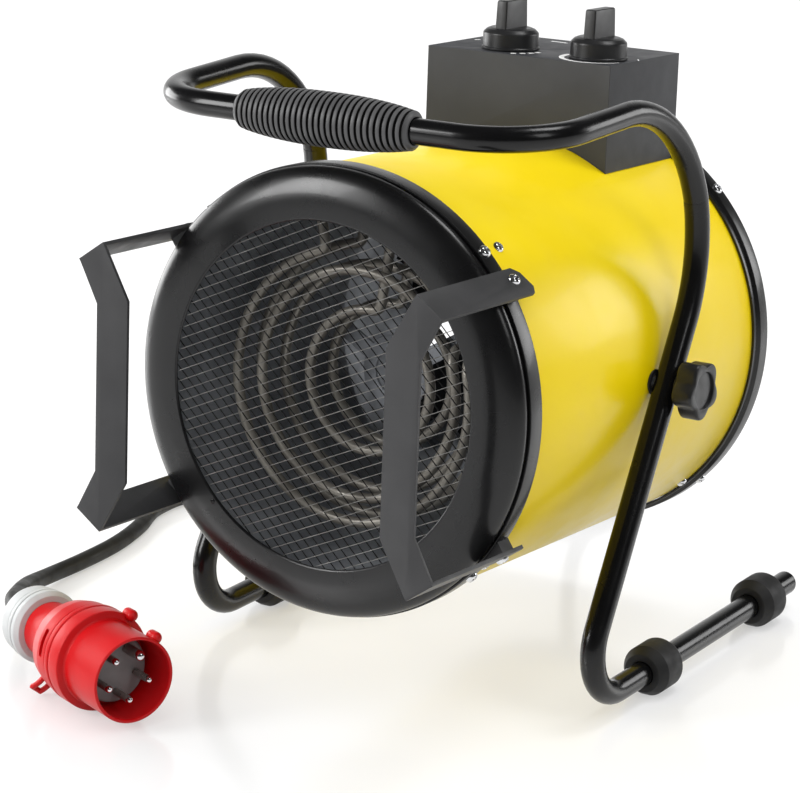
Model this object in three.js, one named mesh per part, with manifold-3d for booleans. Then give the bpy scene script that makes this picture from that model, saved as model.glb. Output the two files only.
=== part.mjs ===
// Portable forced air heater: tilting drum on a bent tube stand, with guards, control box and mains cord.
// Millimetres, +Z up. The outlet faces -Y, the control box sits on top, and the stand rests on z = 0.
import * as THREE from 'three';
import { mergeVertices } from 'three/addons/utils/BufferGeometryUtils.js';
import Module from 'manifold-3d';

const wasm = await Module();
wasm.setup();

// ---------------------------------------------------------------- driving dimensions
const GAP = 0.3;                    // clearance between pieces that touch
const SCREW_CLEARANCE = 0.5;        // radial clearance round a shank or a stud

// the drum's shell, which the stand and the fittings follow
const SHELL_R = 147;

// stand
const TUBE_OD = 17;
const TUBE_WALL = 1.5;
const SKID_HALF_SPACING = SHELL_R + 13;    // skid centre to the middle plane
const KNEE_HALF_SPACING = SHELL_R + 9.2;
const TOP_HALF_SPACING = SHELL_R + 7.2;
const LEFT_BAR_X = -TOP_HALF_SPACING + 7;  // the bar's left corner, a little nearer the middle
const SKID_HEIGHT = 17.3;            // skid centre above the floor
const SKID_END_Y = 356;
const FRONT_FOOT_Y = 44.3;
const KNEE_Y = 219.4;
const KNEE_HEIGHT = 293.4;
const SHOULDER_Y = 186.7;
const SHOULDER_HEIGHT = 408.8;
const BAR_Y = -2.1;
const BAR_HEIGHT = 407.6;
const FOOT_BEND_R = 33;
const KNEE_BEND_R = 110;
const SHOULDER_BEND_R = 102;
const BAR_BEND_R = 57;
const FOOT_CAP_R = 17.8;
const FOOT_CAP_LENGTH = 33;
const FRONT_CAP_Y = 155;
const REAR_CAP_Y = 313;
const GRIP_LENGTH = 134;
const GRIP_CENTRE_X = 0;
const GRIP_END_R = 12;
const GRIP_MIDDLE_R = 18;
const END_PLUG_DEPTH = 12;

// pivot
const PIVOT_HEIGHT = 214.9;
const RING_TO_PIVOT = 169.5;        // along the drum's axis from the front ring
const DRUM_TILT = 3.54;             // degrees, outlet raised
const STUD_R = 4;
const SPACER_R = 9;
const HAND_KNOB_R = 20.5;
const HAND_KNOB_LOBE = 3.4;
const HAND_KNOB_LOBES = 5;
const HAND_KNOB_THICKNESS = 15;
const HAND_KNOB_HUB_R = 9;
const HAND_KNOB_HUB_LENGTH = 5;
const NUT_R = 7.5;
const NUT_LENGTH = 6.4;

// drum
const SHELL_WALL = 1.5;
const SHELL_FRONT_Y = 1.5;
const SHELL_REAR_Y = 331;
const SKIRT_WALL = 1.6;             // bezel skirt over the shell
const BAND_WALL = 2;
const FRONT_BAND_START_Y = 1.2;
const FRONT_BAND_END_Y = 15;
const REAR_BAND_START_Y = 314;
const REAR_BAND_END_Y = 332;
const REAR_BAND_R = SHELL_R + 4.5;
const RING_R = SHELL_R + 3;         // widest circle of the front ring
const OPENING_R = RING_R - 34.4;
const FLAT_RING_R = RING_R - 25;
const FLAT_RING_Y = -14.8;
const BEZEL_WALL = 1.5;
const MESH_R = OPENING_R + 5.4;
const MESH_PITCH = 46;
const MESH_WIRE = 1.5;
const MESH_WELD = 0.3;              // depth that crossing wires share
const MESH_FRONT_TURN = -24;        // degrees of the wires from level, in front and behind
const MESH_BACK_TURN = -44;
const DUCT_R = OPENING_R + 4.4;
const DUCT_WALL = 1.2;
const DUCT_FRONT_Y = -8.5;
const DUCT_REAR_Y = 190;
const FLANGE_THICKNESS = 1.5;
const FRONT_FLANGE_Y = 22;
const REAR_FLANGE_Y = 178;
const GRILLE_Y = 322;
const GRILLE_THICKNESS = 2;
const ROUND = 36;                   // flats round the drum's pieces
const DUCT_ROUND = 32;              // flats round the duct

// heating elements
const ELEMENT_R = 4;
const ELEMENTS = [                  // ring radius, its front run's place, turns of its ends and its fold
  { radius: DUCT_R - 72, y: 45, frontTurn: 82, backTurn: 82, foldTurn: 400 },
  { radius: DUCT_R - 43, y: 30, frontTurn: 50, backTurn: 50, foldTurn: 375 },
  { radius: DUCT_R - 28, y: 23, frontTurn: 104, backTurn: 97, foldTurn: 372 },
];
const ELEMENT_DEPTH = 27;           // front run to back run
const ELEMENT_BEND = 7;
const ELEMENT_STEPS = 16;
const SUPPORT_BARS = 3;
const SUPPORT_BAR_WIDTH = 12;
const SUPPORT_THICKNESS = 2;
const SUPPORT_RING_R = 26;
const SUPPORT_RING_WIDTH = 10;

// fan and motor
const FAN_R = DUCT_R - 8;
const FAN_HUB_R = 28;
const FAN_HUB_LENGTH = 22;
const FAN_Y = 238;
const FAN_BLADES = 5;
const BLADE_CHORD = 52;
const BLADE_THICKNESS = 2.4;
const BLADE_PITCH = 34;             // degrees from the fan's plane
const MOTOR_R = 44;
const MOTOR_FRONT_Y = 262;
const MOTOR_LENGTH = 52;
const SHAFT_R = 5;
const BRACKET_Y = 286;
const BRACKET_THICKNESS = 3;
const BRACKET_ARMS = 4;
const BRACKET_ARM_WIDTH = 22;

// front guards
const spot = (radius, degrees) => [
  radius * Math.cos((degrees * Math.PI) / 180),
  radius * Math.sin((degrees * Math.PI) / 180),
];
const GUARD_REACH = 90;             // front plate ahead of the ring
const GUARD_THICKNESS = 2.5;
const GUARD_INNER = spot(RING_R + 2.2, 38.57);  // bend line, end nearer the middle plane
const GUARD_OUTER = spot(RING_R + 10.46, 30.61);
const GUARD_BAR_INNER_X = RING_R - 50.4;
const GUARD_BAR_OUTER_X = RING_R - 25.6;
const GUARD_BAR_INNER_Z = 60.6;
const GUARD_BAR_OUTER_Z = 56;
const GUARD_ARM_END_Y = 24;
const GUARD_SCREW_Y = 11;
const GUARD_PAD_START_Y = 2;

// screws
const SCREW_R = 2;
const SCREW_HEAD_R = 3.9;
const SCREW_HEAD_H = 2.4;
const SCREW_LENGTH = 9;
const BAND_SCREW_Y = 9;
const BAND_SCREW_ANGLE = 45;

// control box
const BOX_WIDTH = 147.8;
const BOX_CENTRE_X = 1;
const BOX_FRONT_Y = 218.1;
const BOX_REAR_Y = 317.6;
const BOX_TOP = SHELL_R + 54.7;     // above the drum's axis
const BOX_SHEET = 1.5;
const KNOB_Y = 245;
const SWITCH_X = -21.2;
const THERMOSTAT_X = 50;
const KNOB_R = 20.5;
const KNOB_SIDE_H = 12;
const KNOB_CHAMFER = 3.2;
const KNOB_TOP_R = 14.5;
const KNOB_BAR_WIDTH = 8;
const KNOB_BAR_LENGTH = 28;
const KNOB_BAR_H = 19.5;
const KNOB_SHAFT_R = 3;
const KNOB_SHAFT_LENGTH = 22;
const KNOB_GAP = 0.6;
const SWITCH_SIZE = 30;
const SWITCH_H = 26;
const TERMINAL_SIZE = [56, 20, 15];
const TERMINAL_X = 10;
const TERMINAL_Y = 292;
const GLAND_X = -36;
const GLAND_Z = SHELL_R + 29;
const GLAND_THREAD_R = 9.5;
const GLAND_HEX_R = 13.5;
const GLAND_HEX_LENGTH = 8;
const GLAND_DOME_LENGTH = 10;
const RELIEF_LENGTH = 34;
const RELIEF_BASE_R = 9.5;

// cord and plug
const CORD_D = 12.5;
const COIL_R = 64;                  // middle of the outer turns
const COIL_STEP = 15.2;             // radial step per turn
const COIL_LIFT = 13.2;             // height from one layer to the next
const COIL_X = -128;
const COIL_Y = 486;
const COIL_IN_TURNS = 0.5;
const COIL_CLIMB_TURNS = 0.5;
const PLUG_AXIS_HEIGHT = 35.7;
const PLUG_RIM = [-93, -97];        // middle of the plug's open end
const PLUG_HEADING = -22.2;         // degrees from +X
const PLUG_BARREL_R = 30;
const PLUG_BARREL_LENGTH = 42;
const PLUG_BARREL_WALL = 2.6;
const PLUG_COLLAR_R = 35.2;
const PLUG_COLLAR_LENGTH = 17;
const PLUG_CONE_LENGTH = 42;
const PLUG_NECK_R = 18.5;
const PLUG_NECK_LENGTH = 16;
const PLUG_NUT_R = 26.3;
const PLUG_NUT_LENGTH = 30;
const PLUG_INSERT_R = 23.5;
const PLUG_INSERT_DEPTH = 30;
const PLUG_PIN_R = 2.5;
const PLUG_EARTH_PIN_R = 3.6;
const PLUG_PIN_CIRCLE = 16;
const PLUG_PIN_LENGTH = 22;
const LUG_TURN = -38.7;             // degrees round the plug from its top
const KEY_TURN = -41;
const LEVER_TURN = -40;             // from its underside
const LEVER_BACK = 86;              // behind the open end
const LEVER_REACH = 41.2;
const PIN_TURN = 126;

// ---------------------------------------------------------------- materials
const looks = {
  yellow: { color: 0xf2cf12, roughness: 0.32, metalness: 0.0 },
  gloss: { color: 0x1b1b1c, roughness: 0.25, metalness: 0.1 },
  satin: { color: 0x2b2b2c, roughness: 0.5, metalness: 0.1 },
  steel: { color: 0xb9bbbd, roughness: 0.3, metalness: 1.0 },
  chrome: { color: 0xdadcde, roughness: 0.15, metalness: 1.0 },
  rubber: { color: 0x202022, roughness: 0.75, metalness: 0.0 },
  plastic: { color: 0x1f1f21, roughness: 0.45, metalness: 0.0 },
  duct: { color: 0x3a3a3a, roughness: 0.6, metalness: 0.6 },
  element: { color: 0x7d766c, roughness: 0.55, metalness: 0.5 },
  red: { color: 0xd8202a, roughness: 0.35, metalness: 0.0 },
  grey: { color: 0xb9bcbd, roughness: 0.5, metalness: 0.0 },
  insert: { color: 0x4a4c50, roughness: 0.5, metalness: 0.0 },
};

// ---------------------------------------------------------------- geometry helpers
const rad = THREE.MathUtils.degToRad;

// Welds a geometry to shared vertices, drops empty triangles and turns its faces outwards.
function weld(geometry) {
  const bare = geometry.index ? geometry.toNonIndexed() : geometry.clone();
  for (const name of Object.keys(bare.attributes)) {
    if (name !== 'position') bare.deleteAttribute(name);
  }
  const merged = mergeVertices(bare, 1e-4);
  const p = merged.attributes.position;
  const kept = [];
  const a = new THREE.Vector3();
  const b = new THREE.Vector3();
  const c = new THREE.Vector3();
  let volume = 0;
  for (let i = 0; i < merged.index.count; i += 3) {
    const ia = merged.index.getX(i);
    const ib = merged.index.getX(i + 1);
    const ic = merged.index.getX(i + 2);
    if (ia === ib || ib === ic || ic === ia) continue;
    kept.push(ia, ib, ic);
    a.fromBufferAttribute(p, ia);
    b.fromBufferAttribute(p, ib);
    c.fromBufferAttribute(p, ic);
    volume += a.dot(b.clone().cross(c));
  }
  if (volume < 0) {
    for (let i = 0; i < kept.length; i += 3) {
      const swap = kept[i + 1];
      kept[i + 1] = kept[i + 2];
      kept[i + 2] = swap;
    }
  }
  merged.setIndex(kept);
  return merged;
}

function toSolid(geometry) {
  const g = weld(geometry);
  const mesh = new wasm.Mesh({
    numProp: 3,
    vertProperties: Float32Array.from(g.attributes.position.array),
    triVerts: Uint32Array.from(g.index.array),
  });
  return new wasm.Manifold(mesh);
}

function toGeometry(solid) {
  const mesh = solid.getMesh();
  const geometry = new THREE.BufferGeometry();
  geometry.setAttribute('position', new THREE.BufferAttribute(Float32Array.from(mesh.vertProperties), 3));
  geometry.setIndex(Array.from(mesh.triVerts));
  return geometry;
}

function join(...geometries) {
  const solids = geometries.map(toSolid);
  return toGeometry(solids.reduce((all, one) => all.add(one)));
}

function cut(geometry, ...tools) {
  const solids = tools.map(toSolid);
  return toGeometry(solids.reduce((left, tool) => left.subtract(tool), toSolid(geometry)));
}

function moved(geometry, x, y, z, turn = new THREE.Euler()) {
  const matrix = new THREE.Matrix4().makeRotationFromEuler(turn);
  matrix.setPosition(x, y, z);
  return geometry.clone().applyMatrix4(matrix);
}

// A solid of revolution about Y. The profile is a list of [radius, y] and closes on itself.
function turned(profile, segments = ROUND) {
  const points = profile.map(([r, y]) => new THREE.Vector2(r, y));
  const first = points[0];
  const last = points[points.length - 1];
  if (first.x > 0 || last.x > 0) points.push(first.clone());
  return weld(new THREE.LatheGeometry(points, segments));
}

function tubeRing(outer, inner, y0, y1, segments = ROUND) {
  return turned([[inner, y0], [outer, y0], [outer, y1], [inner, y1]], segments);
}

// A cylinder whose axis runs along a direction, from one end to the other.
function rod(radius, from, to, segments = 16) {
  const a = new THREE.Vector3(...from);
  const b = new THREE.Vector3(...to);
  const geometry = new THREE.CylinderGeometry(radius, radius, a.distanceTo(b), segments);
  const turn = new THREE.Quaternion().setFromUnitVectors(
    new THREE.Vector3(0, 1, 0),
    b.clone().sub(a).normalize(),
  );
  const middle = a.clone().add(b).multiplyScalar(0.5);
  const one = new THREE.Vector3(1, 1, 1);
  return geometry.applyMatrix4(new THREE.Matrix4().compose(middle, turn, one));
}

// A slab between two corners.
function slab(x0, x1, y0, y1, z0, z1) {
  const box = new THREE.BoxGeometry(x1 - x0, y1 - y0, z1 - z0);
  return box.translate((x0 + x1) / 2, (y0 + y1) / 2, (z0 + z1) / 2);
}

// A plate drawn in the XZ plane and given thickness from y0 to y1.
function plateXZ(outline, y0, y1, holes = []) {
  const shape = new THREE.Shape(outline.map(([x, z]) => new THREE.Vector2(x, z)));
  for (const hole of holes) {
    shape.holes.push(new THREE.Path(hole.map(([x, z]) => new THREE.Vector2(x, z))));
  }
  const plate = new THREE.ExtrudeGeometry(shape, { depth: y1 - y0, bevelEnabled: false });
  plate.rotateX(Math.PI / 2);
  return plate.translate(0, y1, 0);
}

function circleOutline(radius, sides, turn = 0) {
  const outline = [];
  for (let i = 0; i < sides; i += 1) {
    const angle = turn + (i / sides) * 2 * Math.PI;
    outline.push([radius * Math.cos(angle), radius * Math.sin(angle)]);
  }
  return outline;
}

// A curve through given stations, one extrusion step from each station to the next.
class StationCurve extends THREE.Curve {
  constructor(stations) {
    super();
    this.stations = stations;
  }

  getPoint(t, target = new THREE.Vector3()) {
    const last = this.stations.length - 1;
    const s = t * last;
    const i = Math.min(Math.floor(s + 1e-9), last - 1);
    return target.copy(this.stations[i]).lerp(this.stations[i + 1], s - i);
  }

  getTangent(t, target = new THREE.Vector3()) {
    const last = this.stations.length - 1;
    const i = Math.min(Math.max(Math.round(t * last), 0), last);
    const before = this.stations[Math.max(i - 1, 0)];
    const here = this.stations[i];
    const after = this.stations[Math.min(i + 1, last)];
    target.set(0, 0, 0);
    if (i > 0) target.add(here.clone().sub(before).normalize());
    if (i < last) target.add(after.clone().sub(here).normalize());
    return target.normalize();
  }

  getUtoTmapping(u) {
    return u;
  }
}

function alongStations(stations, radius, sides, bore = 0, boreSides = 8) {
  const shape = new THREE.Shape(circleOutline(radius, sides).map(([x, y]) => new THREE.Vector2(x, y)));
  if (bore > 0) {
    const hole = circleOutline(bore, boreSides).map(([x, y]) => new THREE.Vector2(x, y));
    shape.holes.push(new THREE.Path(hole));
  }
  const geometry = new THREE.ExtrudeGeometry(shape, {
    steps: stations.length - 1,
    bevelEnabled: false,
    extrudePath: new StationCurve(stations),
  });
  return weld(geometry);
}

// Stations along straight runs joined by round bends. Each corner has a radius and a number of steps.
function bentRoute(corners, radii, steps) {
  const stations = [corners[0].clone()];
  for (let i = 1; i < corners.length - 1; i += 1) {
    const at = corners[i];
    const back = corners[i - 1].clone().sub(at).normalize();
    const on = corners[i + 1].clone().sub(at).normalize();
    const angle = Math.acos(THREE.MathUtils.clamp(back.dot(on), -1, 1));
    const reach = radii[i - 1] / Math.tan(angle / 2);
    const middle = back.clone().add(on).normalize();
    const centre = at.clone().addScaledVector(middle, radii[i - 1] / Math.sin(angle / 2));
    const start = at.clone().addScaledVector(back, reach).sub(centre);
    const end = at.clone().addScaledVector(on, reach).sub(centre);
    const sweep = Math.PI - angle;
    for (let k = 0; k <= steps[i - 1]; k += 1) {
      const f = k / steps[i - 1];
      const point = start.clone().multiplyScalar(Math.sin((1 - f) * sweep));
      point.addScaledVector(end, Math.sin(f * sweep)).divideScalar(Math.sin(sweep));
      stations.push(point.add(centre));
    }
  }
  stations.push(corners[corners.length - 1].clone());
  return stations;
}

function part(group, name, geometry, look) {
  const clean = weld(geometry);
  clean.computeVertexNormals();
  const mesh = new THREE.Mesh(clean, new THREE.MeshStandardMaterial(looks[look]));
  mesh.name = name;
  group.add(mesh);
  return mesh;
}

const sides = [['right', 1], ['left', -1]];

// ---------------------------------------------------------------- stand
const heater = new THREE.Group();
const stand = new THREE.Group();
heater.add(stand);

const tubeR = TUBE_OD / 2;
const rightCorners = [
  new THREE.Vector3(SKID_HALF_SPACING, SKID_END_Y, SKID_HEIGHT),
  new THREE.Vector3(SKID_HALF_SPACING, FRONT_FOOT_Y, SKID_HEIGHT),
  new THREE.Vector3(KNEE_HALF_SPACING, KNEE_Y, KNEE_HEIGHT),
  new THREE.Vector3(TOP_HALF_SPACING, SHOULDER_Y, SHOULDER_HEIGHT),
  new THREE.Vector3(TOP_HALF_SPACING, BAR_Y, BAR_HEIGHT),
];
const leftCorners = rightCorners.map((v) => new THREE.Vector3(-v.x, v.y, v.z)).reverse();
leftCorners[0].x = LEFT_BAR_X;
const bendRadii = [FOOT_BEND_R, KNEE_BEND_R, SHOULDER_BEND_R, BAR_BEND_R];
const bendSteps = [7, 3, 4, 6];
const frameStations = bentRoute(
  [...rightCorners, ...leftCorners],
  [...bendRadii, ...[...bendRadii].reverse()],
  [...bendSteps, ...[...bendSteps].reverse()],
);

// where the leg's centre line passes the pivot height
const legRise = (PIVOT_HEIGHT - SKID_HEIGHT) / (KNEE_HEIGHT - SKID_HEIGHT);
const pivotY = THREE.MathUtils.lerp(FRONT_FOOT_Y, KNEE_Y, legRise);
const legX = THREE.MathUtils.lerp(SKID_HALF_SPACING, KNEE_HALF_SPACING, legRise);

const studHoleR = STUD_R + SCREW_CLEARANCE;
const pivotBore = rod(studHoleR, [-legX - 20, pivotY, PIVOT_HEIGHT], [legX + 20, pivotY, PIVOT_HEIGHT], 12);
const tubeStock = alongStations(frameStations, tubeR, 12, tubeR - TUBE_WALL, 4);
part(stand, 'handle_frame', cut(tubeStock, pivotBore), 'gloss');

const gripBore = tubeR + GAP;
const gripHalf = GRIP_LENGTH / 2;
const gripSwell = GRIP_MIDDLE_R - GRIP_END_R;
const grip = turned([
  [gripBore, -gripHalf],
  [GRIP_END_R - 1.5, -gripHalf],
  [GRIP_END_R, -gripHalf + 3],
  [GRIP_END_R + gripSwell * 0.5, -gripHalf * 0.72],
  [GRIP_END_R + gripSwell * 0.85, -gripHalf * 0.45],
  [GRIP_MIDDLE_R, -gripHalf * 0.15],
  [GRIP_MIDDLE_R, gripHalf * 0.15],
  [GRIP_END_R + gripSwell * 0.85, gripHalf * 0.45],
  [GRIP_END_R + gripSwell * 0.5, gripHalf * 0.72],
  [GRIP_END_R, gripHalf - 3],
  [GRIP_END_R - 1.5, gripHalf],
  [gripBore, gripHalf],
], 16);
const alongX = new THREE.Euler(0, 0, -Math.PI / 2);
part(stand, 'grip_sleeve', moved(grip, GRIP_CENTRE_X, BAR_Y, BAR_HEIGHT, alongX), 'rubber');

const capHalf = FOOT_CAP_LENGTH / 2;
const footCap = turned([
  [tubeR + GAP, -capHalf],
  [FOOT_CAP_R - 4, -capHalf],
  [FOOT_CAP_R, -capHalf + 6],
  [FOOT_CAP_R, capHalf - 6],
  [FOOT_CAP_R - 4, capHalf],
  [tubeR + GAP, capHalf],
], 16);
const belowFloor = slab(-400, 400, -400, 600, -60, 0);
for (const [side, sign] of sides) {
  for (const [place, y] of [['front', FRONT_CAP_Y], ['rear', REAR_CAP_Y]]) {
    const sleeve = moved(footCap, sign * SKID_HALF_SPACING, y, SKID_HEIGHT);
    part(stand, `foot_cap_${place}_${side}`, cut(sleeve, belowFloor), 'rubber');
  }
  const plug = turned([
    [0, GAP],
    [tubeR, GAP],
    [tubeR, GAP + 2],
    [0, GAP + 2],
  ], 14);
  const spigot = rod(
    (tubeR - TUBE_WALL) * Math.cos(Math.PI / 4) - GAP - 0.2,
    [0, -END_PLUG_DEPTH, 0],
    [0, GAP + 1, 0],
    12,
  );
  const endPlug = moved(join(plug, spigot), sign * SKID_HALF_SPACING, SKID_END_Y, SKID_HEIGHT);
  part(stand, `tube_end_plug_${side}`, endPlug, 'plastic');
}

// ---------------------------------------------------------------- drum, on the tilt pivot
const drumPivot = new THREE.Group();
drumPivot.position.set(0, pivotY, PIVOT_HEIGHT);
drumPivot.rotation.x = -rad(DRUM_TILT);
heater.add(drumPivot);

// In this group y runs back along the drum's axis from the front ring, and z is up from the axis.
const drum = new THREE.Group();
drum.position.y = -RING_TO_PIVOT;
drumPivot.add(drum);

const skirtInner = SHELL_R + GAP + 0.1;
const skirtOuter = skirtInner + SKIRT_WALL;
const bandInner = skirtOuter + GAP;
const bandOuter = bandInner + BAND_WALL;
const shellInner = SHELL_R - SHELL_WALL;
const shellFlat = shellInner * Math.cos(Math.PI / ROUND);   // middle of a flat inside the shell

// holes for the radial screws of the front band and for the screws of the guards
const screwHoleR = SCREW_R + SCREW_CLEARANCE;
const bandScrews = [];
for (const [side, sign] of sides) {
  for (const [place, up] of [['upper', 1], ['lower', -1]]) {
    const angle = rad(BAND_SCREW_ANGLE);
    const dir = [sign * Math.cos(angle), 0, up * Math.sin(angle)];
    bandScrews.push({ name: `band_screw_${place}_${side}`, dir });
  }
}
const at = (dir, radius, y) => [dir[0] * radius, y, dir[2] * radius];
const bandScrewHoles = bandScrews.map(({ dir }) => (
  rod(screwHoleR, at(dir, SHELL_R - 17, BAND_SCREW_Y), at(dir, SHELL_R + 23, BAND_SCREW_Y), 8)
));

const bendDir = new THREE.Vector2(GUARD_OUTER[0] - GUARD_INNER[0], GUARD_OUTER[1] - GUARD_INNER[1]);
const armWidth = bendDir.length();
bendDir.normalize();
const armNormal = new THREE.Vector2(-bendDir.y, bendDir.x);
const armMiddle = [
  (GUARD_INNER[0] + GUARD_OUTER[0]) / 2 - bendDir.x * 2,
  (GUARD_INNER[1] + GUARD_OUTER[1]) / 2 - bendDir.y * 2,
];
const guardScrews = [];
for (const [side, sign] of sides) {
  for (const [place, up] of [['upper', 1], ['lower', -1]]) {
    guardScrews.push({
      name: `guard_screw_${place}_${side}`,
      foot: [sign * armMiddle[0], GUARD_SCREW_Y, up * armMiddle[1]],
      dir: [sign * armNormal.x, 0, up * armNormal.y],
    });
  }
}
const along = (screw, s) => [
  screw.foot[0] + screw.dir[0] * s,
  screw.foot[1],
  screw.foot[2] + screw.dir[2] * s,
];
const guardScrewHoles = guardScrews.map((screw) => (
  rod(screwHoleR, along(screw, -22), along(screw, 14), 8)
));

const studHoles = rod(studHoleR, [-SHELL_R - 8, RING_TO_PIVOT, 0], [SHELL_R + 8, RING_TO_PIVOT, 0], 12);
const wireSlot = slab(-34, 34, KNOB_Y + 1, KNOB_Y + 31, SHELL_R - 17, SHELL_R + 13);
part(
  drum,
  'drum_shell',
  cut(
    tubeRing(SHELL_R, shellInner, SHELL_FRONT_Y, SHELL_REAR_Y),
    studHoles,
    wireSlot,
    ...bandScrewHoles,
    ...guardScrewHoles,
  ),
  'yellow',
);

const nose = [
  [RING_R, 0],
  [RING_R - 0.5, -3],
  [RING_R - 4, -8.4],
  [RING_R - 12, -12.6],
  [FLAT_RING_R, FLAT_RING_Y],
  [OPENING_R, FLAT_RING_Y],
];
const noseInside = [
  [OPENING_R, FLAT_RING_Y + BEZEL_WALL],
  [FLAT_RING_R, FLAT_RING_Y + BEZEL_WALL],
  [RING_R - 12.6, -12.6 + BEZEL_WALL],
  [RING_R - 5.2, -7.2],
  [skirtInner, -2],
];
const bezel = turned([
  [skirtInner, FRONT_BAND_END_Y - 1],
  [skirtOuter, FRONT_BAND_END_Y - 1],
  [skirtOuter, 0.4],
  ...nose,
  ...noseInside,
]);
part(drum, 'front_bezel', cut(bezel, ...bandScrewHoles, ...guardScrewHoles), 'gloss');
const frontBand = tubeRing(bandOuter, bandInner, FRONT_BAND_START_Y, FRONT_BAND_END_Y);
part(drum, 'front_band', cut(frontBand, ...bandScrewHoles, ...guardScrewHoles), 'gloss');
part(drum, 'rear_band', turned([
  [SHELL_R + GAP + 0.1, REAR_BAND_START_Y],
  [REAR_BAND_R, REAR_BAND_START_Y],
  [REAR_BAND_R, REAR_BAND_END_Y - 1],
  [REAR_BAND_R - 1, REAR_BAND_END_Y],
  [SHELL_R + GAP + 0.1, REAR_BAND_END_Y],
]), 'gloss');

// front mesh: two layers of crossed wires, welded where they cross and to a rim
const meshFrontY = FLAT_RING_Y + BEZEL_WALL + GAP;
const meshBackY = meshFrontY + 2 * MESH_WIRE - MESH_WELD;
const meshPieces = [tubeRing(MESH_R, OPENING_R + 1, meshFrontY, meshBackY, DUCT_ROUND)];
const meshWires = Math.floor(OPENING_R / MESH_PITCH);
for (let i = -meshWires; i <= meshWires; i += 1) {
  const off = i * MESH_PITCH;
  const half = Math.sqrt((OPENING_R + 3) ** 2 - (Math.abs(off) + MESH_WIRE / 2) ** 2);
  const low = off - MESH_WIRE / 2;
  const high = off + MESH_WIRE / 2;
  const front = slab(-half, half, meshFrontY, meshFrontY + MESH_WIRE, low, high);
  const back = slab(low, high, meshBackY - MESH_WIRE, meshBackY, -half, half);
  meshPieces.push(front.rotateY(rad(MESH_FRONT_TURN)), back.rotateY(rad(MESH_BACK_TURN)));
}
part(drum, 'front_mesh', join(...meshPieces), 'steel');

// inner duct and the two flanges that hold it
const duct = tubeRing(DUCT_R, DUCT_R - DUCT_WALL, DUCT_FRONT_Y, DUCT_REAR_Y, DUCT_ROUND);
part(drum, 'inner_duct', duct, 'duct');
for (const [place, y] of [['front', FRONT_FLANGE_Y], ['rear', REAR_FLANGE_Y]]) {
  const flange = tubeRing(shellFlat - GAP - 0.2, DUCT_R + GAP + 0.2, y, y + FLANGE_THICKNESS, DUCT_ROUND);
  part(drum, `duct_flange_${place}`, flange, 'duct');
}

// heating elements: a front run round to a fold, and a back run home, with both ends on the duct
const ductFlat = (DUCT_R - DUCT_WALL) * Math.cos(Math.PI / DUCT_ROUND);
ELEMENTS.forEach(({ radius, y, frontTurn, backTurn, foldTurn }, index) => {
  const back = y + ELEMENT_DEPTH;
  const corner = (r, turn, at_y) => (
    new THREE.Vector3(r * Math.cos(turn), at_y, r * Math.sin(turn))
  );
  const inset = ELEMENT_BEND / radius;
  const run = (turn, at_y) => {
    const start = turn + inset;
    const points = [
      corner(ductFlat - GAP - 0.2, turn, at_y),
      corner(radius + ELEMENT_BEND, turn, at_y),
      corner(radius + ELEMENT_BEND * 0.3, turn + inset * 0.3, at_y),
    ];
    for (let i = 0; i <= ELEMENT_STEPS; i += 1) {
      points.push(corner(radius, start + ((rad(foldTurn) - start) * i) / ELEMENT_STEPS, at_y));
    }
    return points;
  };
  const foldR = ELEMENT_DEPTH / 2;
  const fold = [1, 2, 3].map((i) => {
    const turn = rad(foldTurn) + (foldR / radius) * Math.sin((i * Math.PI) / 4);
    return corner(radius, turn, y + foldR * (1 - Math.cos((i * Math.PI) / 4)));
  });
  const stations = [...run(rad(frontTurn), y), ...fold, ...run(rad(backTurn), back).reverse()];
  part(drum, `heating_element_${index + 1}`, alongStations(stations, ELEMENT_R, 5), 'element');
});

// support behind the elements: a hub ring with radial bars
const supportFront = ELEMENTS[0].y + ELEMENT_DEPTH + ELEMENT_R + GAP;
const supportBack = supportFront + SUPPORT_THICKNESS;
const supportHoleR = SUPPORT_RING_R - SUPPORT_RING_WIDTH;
const supportPieces = [tubeRing(SUPPORT_RING_R, supportHoleR, supportFront, supportBack, 20)];
for (let i = 0; i < SUPPORT_BARS; i += 1) {
  const bar = slab(
    SUPPORT_RING_R - 4,
    DUCT_R - DUCT_WALL - GAP - 1,
    supportFront,
    supportBack,
    -SUPPORT_BAR_WIDTH / 2,
    SUPPORT_BAR_WIDTH / 2,
  );
  supportPieces.push(bar.rotateY(rad(90) + (i / SUPPORT_BARS) * 2 * Math.PI));
}
part(drum, 'element_support', join(...supportPieces), 'steel');

// motor, its bracket and the fan
const motorRear = MOTOR_FRONT_Y + MOTOR_LENGTH;
const motor = turned([
  [SHAFT_R + SCREW_CLEARANCE, MOTOR_FRONT_Y],
  [MOTOR_R - 6, MOTOR_FRONT_Y],
  [MOTOR_R, MOTOR_FRONT_Y + 6],
  [MOTOR_R, motorRear - 4],
  [MOTOR_R - 6, motorRear],
  [0, motorRear],
  [0, MOTOR_FRONT_Y + 16],
  [SHAFT_R + SCREW_CLEARANCE, MOTOR_FRONT_Y + 16],
], 24);
part(drum, 'fan_motor', motor, 'steel');
const bracketPieces = [
  tubeRing(MOTOR_R + 12, MOTOR_R + GAP, BRACKET_Y, BRACKET_Y + BRACKET_THICKNESS, 24),
];
for (let i = 0; i < BRACKET_ARMS; i += 1) {
  const arm = slab(
    MOTOR_R + 6,
    shellFlat - GAP - 0.1,
    BRACKET_Y,
    BRACKET_Y + BRACKET_THICKNESS,
    -BRACKET_ARM_WIDTH / 2,
    BRACKET_ARM_WIDTH / 2,
  );
  bracketPieces.push(arm.rotateY(rad(45) + (i / BRACKET_ARMS) * 2 * Math.PI));
}
part(drum, 'motor_bracket', join(...bracketPieces), 'steel');

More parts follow.
